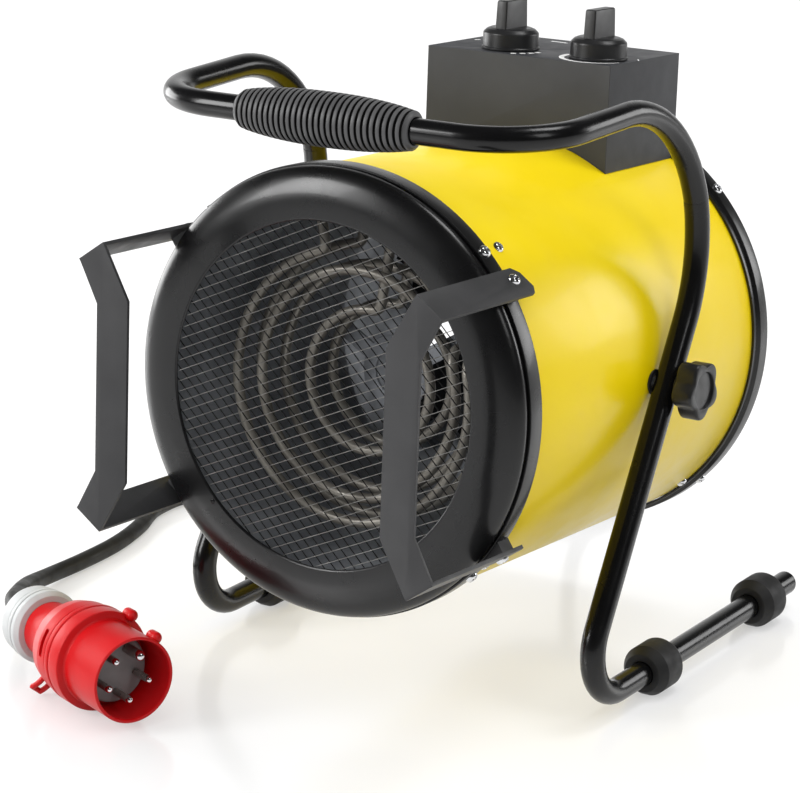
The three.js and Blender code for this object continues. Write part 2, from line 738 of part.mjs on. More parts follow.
const fan = new THREE.Group();
fan.position.y = FAN_Y;
drum.add(fan);
const halfHub = FAN_HUB_LENGTH / 2;
const shaftEnd = MOTOR_FRONT_Y + 14 - FAN_Y;
const fanHub = [
  [0, -halfHub],
  [FAN_HUB_R - 5, -halfHub],
  [FAN_HUB_R, -halfHub + 6],
  [FAN_HUB_R, halfHub],
  [0, halfHub],
];
const fanPieces = [
  turned(fanHub, 20),
  rod(SHAFT_R, [0, halfHub - 2, 0], [0, shaftEnd, 0], 12),
];
for (let i = 0; i < FAN_BLADES; i += 1) {
  const root = 36 / BLADE_CHORD;
  const outline = new THREE.Shape([
    new THREE.Vector2(FAN_HUB_R - 5, (-BLADE_CHORD / 2) * root),
    new THREE.Vector2(FAN_R * 0.72, -BLADE_CHORD / 2),
    new THREE.Vector2(FAN_R - 3, -BLADE_CHORD / 2 + 6),
    new THREE.Vector2(FAN_R - 1, 0),
    new THREE.Vector2(FAN_R - 8, BLADE_CHORD / 2),
    new THREE.Vector2(FAN_R * 0.6, BLADE_CHORD / 2 - 3),
    new THREE.Vector2(FAN_HUB_R - 5, (BLADE_CHORD / 2) * root * 0.55),
  ]);
  const blade = new THREE.ExtrudeGeometry(outline, { depth: BLADE_THICKNESS, bevelEnabled: false });
  blade.translate(0, 0, -BLADE_THICKNESS / 2);
  blade.rotateX(Math.PI / 2 + rad(BLADE_PITCH));
  blade.rotateY((i / FAN_BLADES) * 2 * Math.PI);
  fanPieces.push(blade);
}
part(fan, 'fan_rotor', join(...fanPieces), 'satin');

// rear grille: a pressed disc with rings of curved slots
const grilleSlots = [];
const slotRings = [
  [shellInner - 109.5, shellInner - 83.5, 5],
  [shellInner - 75.5, shellInner - 47.5, 6],
  [shellInner - 39.5, shellInner - 9.5, 8],
];
slotRings.forEach(([inner, outer, count]) => {
  for (let i = 0; i < count; i += 1) {
    const web = 9 / outer;
    const start = (i / count) * 2 * Math.PI + web / 2;
    const span = (2 * Math.PI) / count - web;
    const slot = [];
    for (let k = 0; k <= 2; k += 1) {
      const angle = start + (span * k) / 2;
      slot.push([outer * Math.cos(angle), outer * Math.sin(angle)]);
    }
    for (let k = 2; k >= 0; k -= 1) {
      const angle = start + (span * k) / 2;
      slot.push([inner * Math.cos(angle), inner * Math.sin(angle)]);
    }
    grilleSlots.push(slot);
  }
});
const grilleOutline = circleOutline(shellInner - GAP - 0.05, ROUND);
part(
  drum,
  'rear_grille',
  plateXZ(grilleOutline, GRILLE_Y, GRILLE_Y + GRILLE_THICKNESS, grilleSlots),
  'satin',
);

// ---------------------------------------------------------------- screws of the band and the guards
const screwProfile = [
  [0, -SCREW_LENGTH],
  [SCREW_R, -SCREW_LENGTH],
  [SCREW_R, 0],
  [SCREW_HEAD_R, 0],
  [SCREW_HEAD_R, SCREW_HEAD_H * 0.4],
  [SCREW_HEAD_R * 0.7, SCREW_HEAD_H],
  [0, SCREW_HEAD_H],
];
const screw = turned(screwProfile, 8);
function drive(name, seat, dir, look) {
  const turn = new THREE.Quaternion().setFromUnitVectors(
    new THREE.Vector3(0, 1, 0),
    new THREE.Vector3(...dir),
  );
  const one = new THREE.Vector3(1, 1, 1);
  const matrix = new THREE.Matrix4().compose(new THREE.Vector3(...seat), turn, one);
  part(drum, name, screw.clone().applyMatrix4(matrix), look);
}
for (const { name, dir } of bandScrews) {
  drive(name, at(dir, bandOuter + GAP, BAND_SCREW_Y), dir, 'chrome');
}
for (const guardScrew of guardScrews) {
  drive(guardScrew.name, along(guardScrew, GUARD_THICKNESS + GAP), guardScrew.dir, 'chrome');
}

// ---------------------------------------------------------------- front guards
const cutInner = OPENING_R - 15;
const padCut = tubeRing(bandOuter + GAP, cutInner, -200, 60);
const noseCut = turned([[cutInner, -30], [RING_R + 2, -30], [RING_R + 2, 0], [cutInner, 0]]);
for (const [side, sign] of sides) {
  const mirror = (outline) => outline.map(([x, z]) => [sign * x, z]);
  const upper = [
    [GUARD_BAR_INNER_X, GUARD_BAR_INNER_Z],
    GUARD_INNER,
    GUARD_OUTER,
    [GUARD_BAR_OUTER_X, GUARD_BAR_OUTER_Z],
  ];
  const lower = [...upper].reverse().map(([x, z]) => [x, -z]);
  const faceOutline = [...upper, ...lower];
  const ordered = sign > 0 ? faceOutline : [...mirror(faceOutline)].reverse();
  const pieces = [plateXZ(ordered, -GUARD_REACH, -GUARD_REACH + GUARD_THICKNESS)];
  for (const up of [1, -1]) {
    const inner = GUARD_INNER;
    const outer = GUARD_OUTER;
    const n = [armNormal.x * GUARD_THICKNESS, armNormal.y * GUARD_THICKNESS];
    const section = [
      inner,
      outer,
      [outer[0] + n[0], outer[1] + n[1]],
      [inner[0] + n[0], inner[1] + n[1]],
    ].map(([x, z]) => [sign * x, up * z]);
    const loop = sign * up > 0 ? section : [...section].reverse();
    const arm = plateXZ(loop, -GUARD_REACH, GUARD_ARM_END_Y);
    const corner = 9;
    const clipAt = (edge, along2) => {
      const clip = slab(-corner, corner, -corner, corner, -30, 30);
      const middle = edge === 'inner' ? inner : outer;
      const slip = edge === 'inner' ? along2 : -along2;
      const px = middle[0] + bendDir.x * slip;
      const pz = middle[1] + bendDir.y * slip;
      const tilt = Math.atan2(armNormal.x, armNormal.y);
      const turnedClip = clip.rotateZ(Math.PI / 4).rotateY(tilt * sign * up);
      return turnedClip.translate(sign * px, GUARD_ARM_END_Y + corner * 0.42, up * pz);
    };
    const trimmed = cut(arm, clipAt('inner', -corner * 0.42), clipAt('outer', -corner * 0.42));
    // a pad under the arm's end, shaped to sit on the band
    const deep = 11;
    const pad = [
      inner,
      [inner[0] + bendDir.x * armWidth * 0.8, inner[1] + bendDir.y * armWidth * 0.8],
      [
        inner[0] + bendDir.x * armWidth * 0.8 - armNormal.x * deep,
        inner[1] + bendDir.y * armWidth * 0.8 - armNormal.y * deep,
      ],
      [inner[0] - armNormal.x * deep, inner[1] - armNormal.y * deep],
    ].map(([x, z]) => [sign * x, up * z]);
    const padLoop = sign * up > 0 ? pad.reverse() : pad;
    const padBlock = plateXZ(padLoop, GUARD_PAD_START_Y, FRONT_BAND_END_Y);
    pieces.push(join(trimmed, cut(padBlock, padCut)));
  }
  const bar = cut(join(...pieces), noseCut, ...guardScrewHoles);
  part(drum, `front_guard_${side}`, bar, 'satin');
}

// ---------------------------------------------------------------- pivot hardware
const knobOutline = [];
const lobeSteps = 6 * HAND_KNOB_LOBES;
for (let i = 0; i < lobeSteps; i += 1) {
  const angle = (i / lobeSteps) * 2 * Math.PI;
  const radius = HAND_KNOB_R - HAND_KNOB_LOBE * (1 - Math.cos(angle * HAND_KNOB_LOBES));
  knobOutline.push(new THREE.Vector2(radius * Math.cos(angle), radius * Math.sin(angle)));
}
const hubStart = legX + tubeR + GAP;
const knobStart = hubStart + HAND_KNOB_HUB_LENGTH;
const knobEnd = knobStart + HAND_KNOB_THICKNESS;
const studInner = shellInner - GAP - NUT_LENGTH - 5;
const studOuter = knobStart + HAND_KNOB_THICKNESS * 0.6;
for (const [side, sign] of sides) {
  const quarter = new THREE.Euler(0, 0, (-sign * Math.PI) / 2);
  const place = (geometry) => moved(geometry, 0, RING_TO_PIVOT, 0, quarter);

  const spacerInner = SHELL_R + GAP;
  const spacerOuter = legX - tubeR - GAP;
  part(
    drum,
    `pivot_spacer_${side}`,
    place(tubeRing(SPACER_R, studHoleR, spacerInner, spacerOuter, 16)),
    'plastic',
  );

  const nutFace = Math.sqrt(shellInner ** 2 - NUT_R ** 2) * Math.cos(Math.PI / ROUND) - GAP;
  const nutBlank = rod(NUT_R, [0, nutFace - NUT_LENGTH, 0], [0, nutFace, 0], 6);
  const nutBore = rod(STUD_R + GAP, [0, nutFace - NUT_LENGTH - 1, 0], [0, nutFace + 1, 0], 12);
  part(drum, `pivot_nut_${side}`, place(cut(nutBlank, nutBore)), 'steel');

  const handKnob = new THREE.Group();
  handKnob.position.set(0, RING_TO_PIVOT, 0);
  drum.add(handKnob);
  const star = new THREE.ExtrudeGeometry(new THREE.Shape(knobOutline), {
    depth: HAND_KNOB_THICKNESS - 4,
    bevelEnabled: true,
    bevelThickness: 2,
    bevelSize: 2,
    bevelOffset: -2,
    bevelSegments: 1,
  });
  star.rotateX(-Math.PI / 2).translate(0, knobStart + 2, 0);
  const hub = rod(HAND_KNOB_HUB_R, [0, hubStart, 0], [0, knobStart + 3, 0], 20);
  const socket = rod(STUD_R + GAP, [0, hubStart - 2, 0], [0, studOuter + GAP, 0], 12);
  part(handKnob, `hand_knob_${side}`, moved(cut(join(star, hub), socket), 0, 0, 0, quarter), 'plastic');
  const stud = rod(STUD_R, [0, studInner, 0], [0, studOuter, 0], 12);
  part(handKnob, `hand_knob_stud_${side}`, moved(stud, 0, 0, 0, quarter), 'steel');
}

// ---------------------------------------------------------------- control box
const boxLeft = BOX_CENTRE_X - BOX_WIDTH / 2;
const boxRight = BOX_CENTRE_X + BOX_WIDTH / 2;
const t = BOX_SHEET;
const knobPlaces = [['switch', SWITCH_X], ['thermostat', THERMOSTAT_X]];
const boxCuts = [
  slab(boxLeft + t, boxRight - t, BOX_FRONT_Y + t, BOX_REAR_Y - t, SHELL_R / 2, BOX_TOP - t),
  turned([[0, 180], [SHELL_R + GAP + 0.1, 180], [SHELL_R + GAP + 0.1, 340], [0, 340]]),
  turned([
    [0, REAR_BAND_START_Y - GAP - 0.1],
    [REAR_BAND_R + GAP + 0.1, REAR_BAND_START_Y - GAP - 0.1],
    [REAR_BAND_R + GAP + 0.1, 345],
    [0, 345],
  ]),
  rod(
    GLAND_THREAD_R + SCREW_CLEARANCE,
    [GLAND_X, BOX_REAR_Y - 10, GLAND_Z],
    [GLAND_X, BOX_REAR_Y + 10, GLAND_Z],
    16,
  ),
];
for (const [, x] of knobPlaces) {
  const clear = KNOB_SHAFT_R + SCREW_CLEARANCE;
  boxCuts.push(rod(clear, [x, KNOB_Y, BOX_TOP - 10], [x, KNOB_Y, BOX_TOP + 10], 12));
}
const boxBlank = slab(boxLeft, boxRight, BOX_FRONT_Y, BOX_REAR_Y, SHELL_R * 0.68, BOX_TOP);
part(drum, 'control_box', cut(boxBlank, ...boxCuts), 'satin');

for (const [kind, x] of knobPlaces) {
  const top = BOX_TOP - t - GAP;
  const half = SWITCH_SIZE / 2;
  const shaftHole = rod(KNOB_SHAFT_R + SCREW_CLEARANCE, [x, KNOB_Y, top - 14], [x, KNOB_Y, top + 1], 12);
  const block = slab(x - half, x + half, KNOB_Y - half + 4, KNOB_Y + half + 4, top - SWITCH_H, top);
  part(drum, `${kind}_body`, cut(block, shaftHole), 'plastic');

  const knob = new THREE.Group();
  knob.position.set(x, KNOB_Y, BOX_TOP + KNOB_GAP);
  drum.add(knob);
  const upright = new THREE.Euler(Math.PI / 2, 0, 0);
  const base = turned([
    [0, 0],
    [KNOB_R, 0],
    [KNOB_R, KNOB_SIDE_H],
    [KNOB_TOP_R, KNOB_SIDE_H + KNOB_CHAMFER],
    [0, KNOB_SIDE_H + KNOB_CHAMFER],
  ], 24);
  const barTop = KNOB_SIDE_H + KNOB_CHAMFER + KNOB_BAR_H;
  const grab = slab(
    -KNOB_BAR_WIDTH / 2,
    KNOB_BAR_WIDTH / 2,
    -KNOB_BAR_LENGTH / 2,
    KNOB_BAR_LENGTH / 2,
    KNOB_SIDE_H,
    barTop,
  );
  const shaftTop = 10;
  const bore = rod(KNOB_SHAFT_R + GAP, [0, 0, -1], [0, 0, shaftTop + GAP], 12);
  const body = join(moved(base, 0, 0, 0, upright), grab);
  part(knob, `${kind}_knob`, cut(body, bore), 'plastic');
  const shaft = rod(KNOB_SHAFT_R, [0, 0, shaftTop - KNOB_SHAFT_LENGTH], [0, 0, shaftTop], 12);
  part(knob, `${kind}_shaft`, shaft, 'steel');
}

const [termX, termY, termZ] = TERMINAL_SIZE;
const terminalTop = BOX_TOP - t - GAP;
const terminalBlock = moved(
  slab(-termX / 2, termX / 2, -termY / 2, termY / 2, -termZ, 0),
  TERMINAL_X,
  TERMINAL_Y,
  terminalTop,
);
part(drum, 'terminal_block', terminalBlock, 'grey');

// cable gland through the rear wall, and the tapered relief on it
const glandFace = BOX_REAR_Y + GAP;
const hexEnd = glandFace + GLAND_HEX_LENGTH;
const domeEnd = hexEnd + GLAND_DOME_LENGTH;
const glandThread = rod(GLAND_THREAD_R, [0, BOX_REAR_Y - 9, 0], [0, glandFace + 2, 0], 20);
const glandHex = rod(GLAND_HEX_R, [0, glandFace, 0], [0, hexEnd, 0], 6);
const glandDome = turned([
  [0, hexEnd - 1],
  [12, hexEnd - 1],
  [12, hexEnd + 4],
  [10.5, domeEnd],
  [0, domeEnd],
], 20);
part(drum, 'cable_gland', moved(join(glandThread, glandHex, glandDome), GLAND_X, 0, GLAND_Z), 'plastic');
const reliefStart = domeEnd + GAP;
const reliefEnd = reliefStart + RELIEF_LENGTH;
const relief = turned([
  [0, reliefStart],
  [RELIEF_BASE_R, reliefStart],
  [RELIEF_BASE_R, reliefStart + 4],
  [CORD_D / 2 + 1.2, reliefEnd],
  [0, reliefEnd],
], 16);
part(drum, 'strain_relief', moved(relief, GLAND_X, 0, GLAND_Z), 'rubber');

// ---------------------------------------------------------------- cord and plug
heater.updateMatrixWorld(true);
const cordR = CORD_D / 2;
const exitPoint = drum.localToWorld(new THREE.Vector3(GLAND_X, reliefEnd + GAP, GLAND_Z));
const exitAhead = drum.localToWorld(new THREE.Vector3(GLAND_X, reliefEnd + GAP + 1, GLAND_Z));
const exitDir = exitAhead.clone().sub(exitPoint);

// coil: in along the floor, up one layer in a half turn, and out again on top
const coilTurns = 2 * COIL_IN_TURNS + COIL_CLIMB_TURNS;
function coilPoint(turn) {
  const angle = turn * 2 * Math.PI;
  const climb = THREE.MathUtils.clamp((turn - COIL_IN_TURNS) / COIL_CLIMB_TURNS, 0, 1);
  const wound = Math.min(turn, COIL_IN_TURNS, coilTurns - turn);
  const radius = COIL_R + COIL_STEP * (COIL_IN_TURNS / 2 - wound);
  const lift = COIL_LIFT * (0.5 - 0.5 * Math.cos(Math.PI * climb));
  return new THREE.Vector3(
    COIL_X + radius * Math.cos(angle),
    COIL_Y + radius * Math.sin(angle),
    cordR + 0.4 + lift,
  );
}
const coilSteps = Math.round(coilTurns * 24);
const coilStations = [];
for (let i = 0; i <= coilSteps; i += 1) {
  coilStations.push(coilPoint((i / coilSteps) * coilTurns));
}
const coilIn = coilStations[0].clone().add(new THREE.Vector3(0, -CORD_D, 0));
const coilOut = coilStations[coilSteps].clone().add(new THREE.Vector3(0, -CORD_D, 0));
coilStations.unshift(coilIn);
coilStations.push(coilOut);
part(heater, 'cord_coil', alongStations(coilStations, cordR, 6), 'rubber');

// least distance of the coil from itself, on points two millimetres apart
const fine = [];
for (let i = 0; i < coilStations.length - 1; i += 1) {
  const pieces = Math.ceil(coilStations[i].distanceTo(coilStations[i + 1]) / 2);
  for (let k = 0; k < pieces; k += 1) {
    fine.push(coilStations[i].clone().lerp(coilStations[i + 1], k / pieces));
  }
}
let nearest = Infinity;
for (let i = 0; i < fine.length; i += 1) {
  for (let k = i + 40; k < fine.length; k += 1) {
    nearest = Math.min(nearest, fine[i].distanceTo(fine[k]));
  }
}
console.log(`coil: least gap to itself ${(nearest - CORD_D).toFixed(2)} mm`);

// the rise: out of the relief, over and down behind the drum, then along the floor into the coil
const floorZ = cordR + 0.4;
const risePoints = [
  exitPoint,
  exitPoint.clone().addScaledVector(exitDir, 13),
  new THREE.Vector3(GLAND_X - 1, exitPoint.y + 44, exitPoint.z - 16),
  new THREE.Vector3(GLAND_X - 4, exitPoint.y + 64, exitPoint.z - 62),
  new THREE.Vector3(GLAND_X - 8, exitPoint.y + 62, exitPoint.z - 130),
  new THREE.Vector3(GLAND_X - 14, exitPoint.y + 48, exitPoint.z - 205),
  new THREE.Vector3(coilIn.x + 6, exitPoint.y + 34, floorZ + 108),
  new THREE.Vector3(coilIn.x + 2, exitPoint.y + 34, floorZ + 54),
  new THREE.Vector3(coilIn.x, exitPoint.y + 48, floorZ + 17),
  new THREE.Vector3(coilIn.x, coilIn.y - GAP - 12, floorZ),
  new THREE.Vector3(coilIn.x, coilIn.y - GAP, floorZ),
];
// A smooth route whose first and last legs are straight, so that the ends meet their neighbours squarely.
function sweepRoute(points, steps) {
  const curve = new THREE.CatmullRomCurve3(points.slice(1, -1), false, 'centripetal');
  curve.arcLengthDivisions = 600;
  const first = points[0];
  const last = points[points.length - 1];
  const stations = [first, ...curve.getSpacedPoints(steps), last];
  const ends = first.distanceTo(points[1]) + last.distanceTo(points[points.length - 2]);
  return { stations, length: curve.getLength() + ends };
}
const rise = sweepRoute(risePoints, 26);
part(heater, 'cord_rise', alongStations(rise.stations, cordR, 8), 'rubber');

// the run: from the top of the coil down to the floor, forwards, and round into the plug
const plugDir = new THREE.Vector3(Math.cos(rad(PLUG_HEADING)), Math.sin(rad(PLUG_HEADING)), 0);
const plugLength = PLUG_BARREL_LENGTH + PLUG_COLLAR_LENGTH + PLUG_CONE_LENGTH + PLUG_NECK_LENGTH;
const rim = new THREE.Vector3(PLUG_RIM[0], PLUG_RIM[1], PLUG_AXIS_HEIGHT);
const plugTail = rim.clone().addScaledVector(plugDir, -(plugLength + PLUG_NUT_LENGTH));
const runEnd = plugTail.clone().addScaledVector(plugDir, -GAP);
const runPoints = [
  coilOut.clone().add(new THREE.Vector3(0, -GAP, 0)),
  coilOut.clone().add(new THREE.Vector3(0, -GAP - 12, 0)),
  new THREE.Vector3(coilOut.x - 5, coilOut.y - 50, floorZ + 4),
  new THREE.Vector3(coilOut.x - 26, coilOut.y - 88, floorZ),
  new THREE.Vector3(-272, 356, floorZ),
  new THREE.Vector3(-318, 336, floorZ),
  new THREE.Vector3(-349, 304, floorZ),
  new THREE.Vector3(-351, 262, floorZ),
  new THREE.Vector3(-335, 220, floorZ),
  new THREE.Vector3(-325, 178, floorZ),
  new THREE.Vector3(-322, 134, floorZ),
  new THREE.Vector3(-319, 90, floorZ + 2),
  new THREE.Vector3(-307, 52, floorZ + 9),
  new THREE.Vector3(-286, 16, floorZ + 18),
  new THREE.Vector3(-265, -15, floorZ + 25),
  runEnd.clone().addScaledVector(plugDir, -12),
  runEnd,
];
const run = sweepRoute(runPoints, 36);
part(heater, 'cord_run', alongStations(run.stations, cordR, 8), 'rubber');
const coilLength = fine.length * 2;
console.log(`cord: rise ${rise.length.toFixed(0)} coil ${coilLength} run ${run.length.toFixed(0)} mm`);

// plug, drawn with y running from its tail to its open end
const plug = new THREE.Group();
plug.position.copy(plugTail);
plug.rotation.z = rad(PLUG_HEADING) - Math.PI / 2;
heater.add(plug);
const nutEnd = PLUG_NUT_LENGTH;
const neckEnd = nutEnd + PLUG_NECK_LENGTH;
const coneEnd = neckEnd + PLUG_CONE_LENGTH;
const collarEnd = coneEnd + PLUG_COLLAR_LENGTH;
const rimEnd = collarEnd + PLUG_BARREL_LENGTH;
part(plug, 'plug_gland_nut', turned([
  [0, 0],
  [PLUG_NUT_R - 10, 0],
  [PLUG_NUT_R - 2, 5],
  [PLUG_NUT_R, nutEnd - 7],
  [PLUG_NUT_R - 3.3, nutEnd - GAP],
  [0, nutEnd - GAP],
], 22), 'grey');
const barrelInner = PLUG_BARREL_R - PLUG_BARREL_WALL;
const insertFloor = rimEnd - 36;
const shellOfPlug = turned([
  [0, nutEnd],
  [PLUG_NECK_R, nutEnd],
  [PLUG_NECK_R + 0.8, neckEnd],
  [PLUG_NECK_R + 6, neckEnd + 4],
  [PLUG_COLLAR_R - 6, neckEnd + 13],
  [PLUG_COLLAR_R - 1.7, coneEnd - 13],
  [PLUG_COLLAR_R, coneEnd],
  [PLUG_COLLAR_R, collarEnd],
  [PLUG_BARREL_R - 0.4, collarEnd],
  [PLUG_BARREL_R, rimEnd],
  [barrelInner, rimEnd],
  [barrelInner, insertFloor],
  [0, insertFloor],
], 24);
const leverMiddle = rimEnd - LEVER_BACK;
const lever = slab(-5, 5, leverMiddle - 5, leverMiddle + 6, -LEVER_REACH, -PLUG_NECK_R - 4);
lever.rotateY(rad(LEVER_TURN));
const lug = rod(4.4, [0, collarEnd - 7, PLUG_COLLAR_R + 1.6], [0, collarEnd + 4, PLUG_COLLAR_R + 1.6], 10);
const key = slab(-6, 6, rimEnd - 13, rimEnd - 3, PLUG_BARREL_R - 2, PLUG_BARREL_R + 5.5);
lug.rotateY(rad(LUG_TURN));
key.rotateY(rad(KEY_TURN));
const plugTurn = rad(PIN_TURN);
part(plug, 'plug_body', join(shellOfPlug, lever, lug, key), 'red');

const insertPieces = [
  rod(PLUG_INSERT_R, [0, insertFloor + GAP, 0], [0, insertFloor + GAP + 10, 0], 28),
];
for (let i = 0; i < 5; i += 1) {
  const angle = (i / 5) * 2 * Math.PI + plugTurn;
  const x = PLUG_PIN_CIRCLE * Math.cos(angle);
  const z = PLUG_PIN_CIRCLE * Math.sin(angle);
  const radius = i === 0 ? PLUG_EARTH_PIN_R : PLUG_PIN_R;
  const foot = insertFloor + GAP + 9;
  insertPieces.push(rod(radius, [x, foot, z], [x, foot + PLUG_PIN_LENGTH, z], 10));
}
part(plug, 'plug_insert', join(...insertPieces), 'insert');

// ---------------------------------------------------------------- origin under the middle of the heater
const cordPieces = ['cord_coil', 'cord_rise', 'cord_run', 'plug_gland_nut', 'plug_body', 'plug_insert'];
heater.updateMatrixWorld(true);
const bounds = new THREE.Box3();
heater.traverse((node) => {
  if (node.isMesh && !cordPieces.includes(node.name)) bounds.expandByObject(node, true);
});
const centre = bounds.getCenter(new THREE.Vector3());
heater.position.set(-centre.x, -centre.y, -bounds.min.z);
heater.updateMatrixWorld(true);

export default heater;
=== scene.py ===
"""Looks of a portable forced air heater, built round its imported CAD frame. Metres, Z up, outlet to -Y."""
import math

import bmesh
import bpy
from mathutils import Matrix, Vector


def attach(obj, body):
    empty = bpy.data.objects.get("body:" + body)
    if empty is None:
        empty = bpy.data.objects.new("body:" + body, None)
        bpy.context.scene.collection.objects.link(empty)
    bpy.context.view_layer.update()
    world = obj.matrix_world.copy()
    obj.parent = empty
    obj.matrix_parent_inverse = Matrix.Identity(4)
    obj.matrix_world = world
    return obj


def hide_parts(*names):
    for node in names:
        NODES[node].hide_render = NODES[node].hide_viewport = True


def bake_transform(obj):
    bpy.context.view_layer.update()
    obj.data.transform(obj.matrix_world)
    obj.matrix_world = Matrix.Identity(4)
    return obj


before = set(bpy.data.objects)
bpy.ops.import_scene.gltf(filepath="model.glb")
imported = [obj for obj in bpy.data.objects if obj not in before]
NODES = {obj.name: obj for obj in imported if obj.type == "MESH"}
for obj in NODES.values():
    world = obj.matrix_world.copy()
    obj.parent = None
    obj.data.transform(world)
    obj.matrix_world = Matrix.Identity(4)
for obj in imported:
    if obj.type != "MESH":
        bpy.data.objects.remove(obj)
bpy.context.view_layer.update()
MM = 0.001
MICRON = 0.000001
SIDES = (("right", 1), ("left", -1))

# -------- sizes in millimetres, as in the CAD
PIVOT_Y = 26.67
PIVOT_HEIGHT = 214.9
RING_TO_PIVOT = 169.5
DRUM_TILT = 3.54

TUBE_R = 8.5
FLOOR_SHIFT = -142.943              # CAD's own y to the frame's y
SKID_X = 160
SKID_END_Y = 356
SKID_HEIGHT = 17.3
HANDLE_Y = -2.1
HANDLE_HEIGHT = 407.6
RIGHT_CORNERS = [                   # centreline of the tube, from the skid's end to the handle
    (SKID_X, SKID_END_Y, SKID_HEIGHT),
    (SKID_X, 44.3, SKID_HEIGHT),
    (156.2, 219.4, 293.4),
    (154.2, 186.7, 408.8),
    (154.2, HANDLE_Y, HANDLE_HEIGHT),
]
LEFT_CORNERS = [(-147.2, HANDLE_Y, HANDLE_HEIGHT)] + [(-x, y, z) for x, y, z in RIGHT_CORNERS[3::-1]]
BEND_RADII = [33, 110, 102, 57]
BEND_STEPS = 14
CAP_PLACES = {"front": 155, "rear": 313}
CAP_R = 17.8
CAP_END_R = 13.4
CAP_HALF = 16.5
CAP_SLOPE = 7
GRIP_HALF = 67
GRIP_CENTRE = (0, HANDLE_Y, HANDLE_HEIGHT)
GRIP_END_R = 12.1
GRIP_SWELL = 5.9
GRIP_COLLAR = 4.2
GRIP_RIBS = 28
GRIP_GROOVE = 1.7

HAND_KNOB_X = 171.08                # inner side of a hand knob's head
HAND_KNOB_R = 20.5
HAND_KNOB_HOLLOW = 4.4
HAND_KNOB_LOBES = 5
HAND_KNOB_FIRST_LOBE = 187          # degrees
HAND_KNOB_THICK = 15

SHELL_R = 147
SHELL_WALL = 1.5
SHELL_SPAN = (1.5, 331)
SKIRT_INNER = 147.4
SKIRT_OUTER = 149
SKIRT_END = 14
BEZEL_R = 150
NOSE_Y = -2.6
FRONT_BAND = (1.2, 15)
FRONT_BAND_R = 151.3
REAR_BAND = (314, 332)
REAR_BAND_R = 151.5
REAR_STEP_R = 149.2
FLAT_RING_R = 125
FLAT_RING_Y = -14.8
OPENING_R = 115.6
MESH_PITCH = 6.6
MESH_WIRE_R = 0.28
MESH_Y = -12.4
MESH_REACH = 119.5
MESH_TURNS = (24, -44)              # front and back layer, degrees
MESH_STEP = 1.15                    # front layer to back layer
DUCT_R = 120
DUCT_WALL = 1.2
DUCT_SPAN = (-8.5, 190)
ELEMENT_R = 3.6
ELEMENT_BEND = 7
ELEMENT_DEPTH = 27                  # front run to back run
ELEMENTS = (                        # ring radius, front run's y, then degrees of the two ends and the fold
    (48, 45, 82, 82, 400),
    (77, 30, 50, 50, 375),
    (92, 23, 104, 97, 372),
)
GRILLE_SPAN = (322, 324)
GRILLE_RADII = (36, 62, 70, 98, 106, 136, SHELL_R - SHELL_WALL - 0.35)
GRILLE_SLOTS = {1: 5, 3: 6, 5: 8}   # ring of the grille, number of slots in it
GRILLE_WEB = 9

BOX_TOP = 201.7
KNOB_Y = 245
KNOB_XS = {"switch": -21.2, "thermostat": 50}
KNOB_R = 20.5
KNOB_GAP = 0.6

SCREW_SHANK = 9
SCREW_SHANK_ACROSS = 4.2            # a little over the widest measure of the shank's end
SCREW_HEAD_FROM = 11.2              # head points lie further than this from the shank's end

CORD_D = 12.5
CORD_REST = CORD_D / 2 + 0.4        # centreline above the floor
CORD_EXIT = (-36, 370.5, 176)       # in drum coordinates
CORD_GAP = 0.3                      # between the cord's sections, as in the CAD
CORD_IN_NUT = 12
COIL_R = 63.7
COIL_STEP = 15.2
COIL_LIFT = 13.2
COIL_CENTRE = (-128, 486)
COIL_IN_TURNS = 0.5
COIL_CLIMB_TURNS = 0.5
PLUG_RIM = (-93, -97, 35.7)
PLUG_HEADING = -22.2
PLUG_NUT = 30
PLUG_COLLAR = 105
PLUG_SLOT_Y = (77, 80.8)
PLUG_SLOT_TURN = (52, 84)           # degrees from the top
PLUG_LENGTH = 147
PIN_CIRCLE_R = 16
PIN_FIRST_TURN = 126
PIN_RADII = (3.6, 2.5, 2.5, 2.5, 2.5)
PIN_FOOT = 120
PIN_TIP = 142.3

# -------- places
STAND = Matrix.Translation((0, FLOOR_SHIFT * MM, 0)) @ Matrix.Scale(MM, 4)
DRUM = (
    Matrix.Translation((0, PIVOT_Y * MM, PIVOT_HEIGHT * MM))
    @ Matrix.Rotation(-math.radians(DRUM_TILT), 4, "X")
    @ Matrix.Translation((0, -RING_TO_PIVOT * MM, 0))
    @ Matrix.Scale(MM, 4)
)
PLUG_TURN = math.radians(PLUG_HEADING)
PLUG_WAY = Vector((math.cos(PLUG_TURN), math.sin(PLUG_TURN), 0))
PLUG_TAIL = Vector(PLUG_RIM) - PLUG_WAY * PLUG_LENGTH
# plug coordinates: y runs from the tail to the open end
PLUG = STAND @ Matrix.Translation(PLUG_TAIL) @ Matrix.Rotation(PLUG_TURN - math.pi / 2, 4, "Z")


# -------- materials
COAT_ROUGHNESS = 0.08
NOISE_LOW, NOISE_HIGH = 0.3, 0.7    # most of a noise's values lie between these


def srgb(value):
    """Linear colour from 0-255 display values."""
    return tuple(((v / 255 + 0.055) / 1.055) ** 2.4 if v > 10 else v / 255 / 12.92 for v in value) + (1.0,)


def node(tree, kind, **values):
    """A new node. Each value goes to the property of that name, or else to the input of that name."""
    made = tree.nodes.new(kind)
    for key, value in values.items():
        if hasattr(made, key):
            setattr(made, key, value)
        else:
            made.inputs[key.replace("_", " ")].default_value = value
    return made


def wire(tree, a, out, b, into):
    tree.links.new(a.outputs[out], b.inputs[into])


def map_range(tree, low, high, new_low, new_high):
    return node(tree, "ShaderNodeMapRange", From_Min=low, From_Max=high, To_Min=new_low, To_Max=new_high)


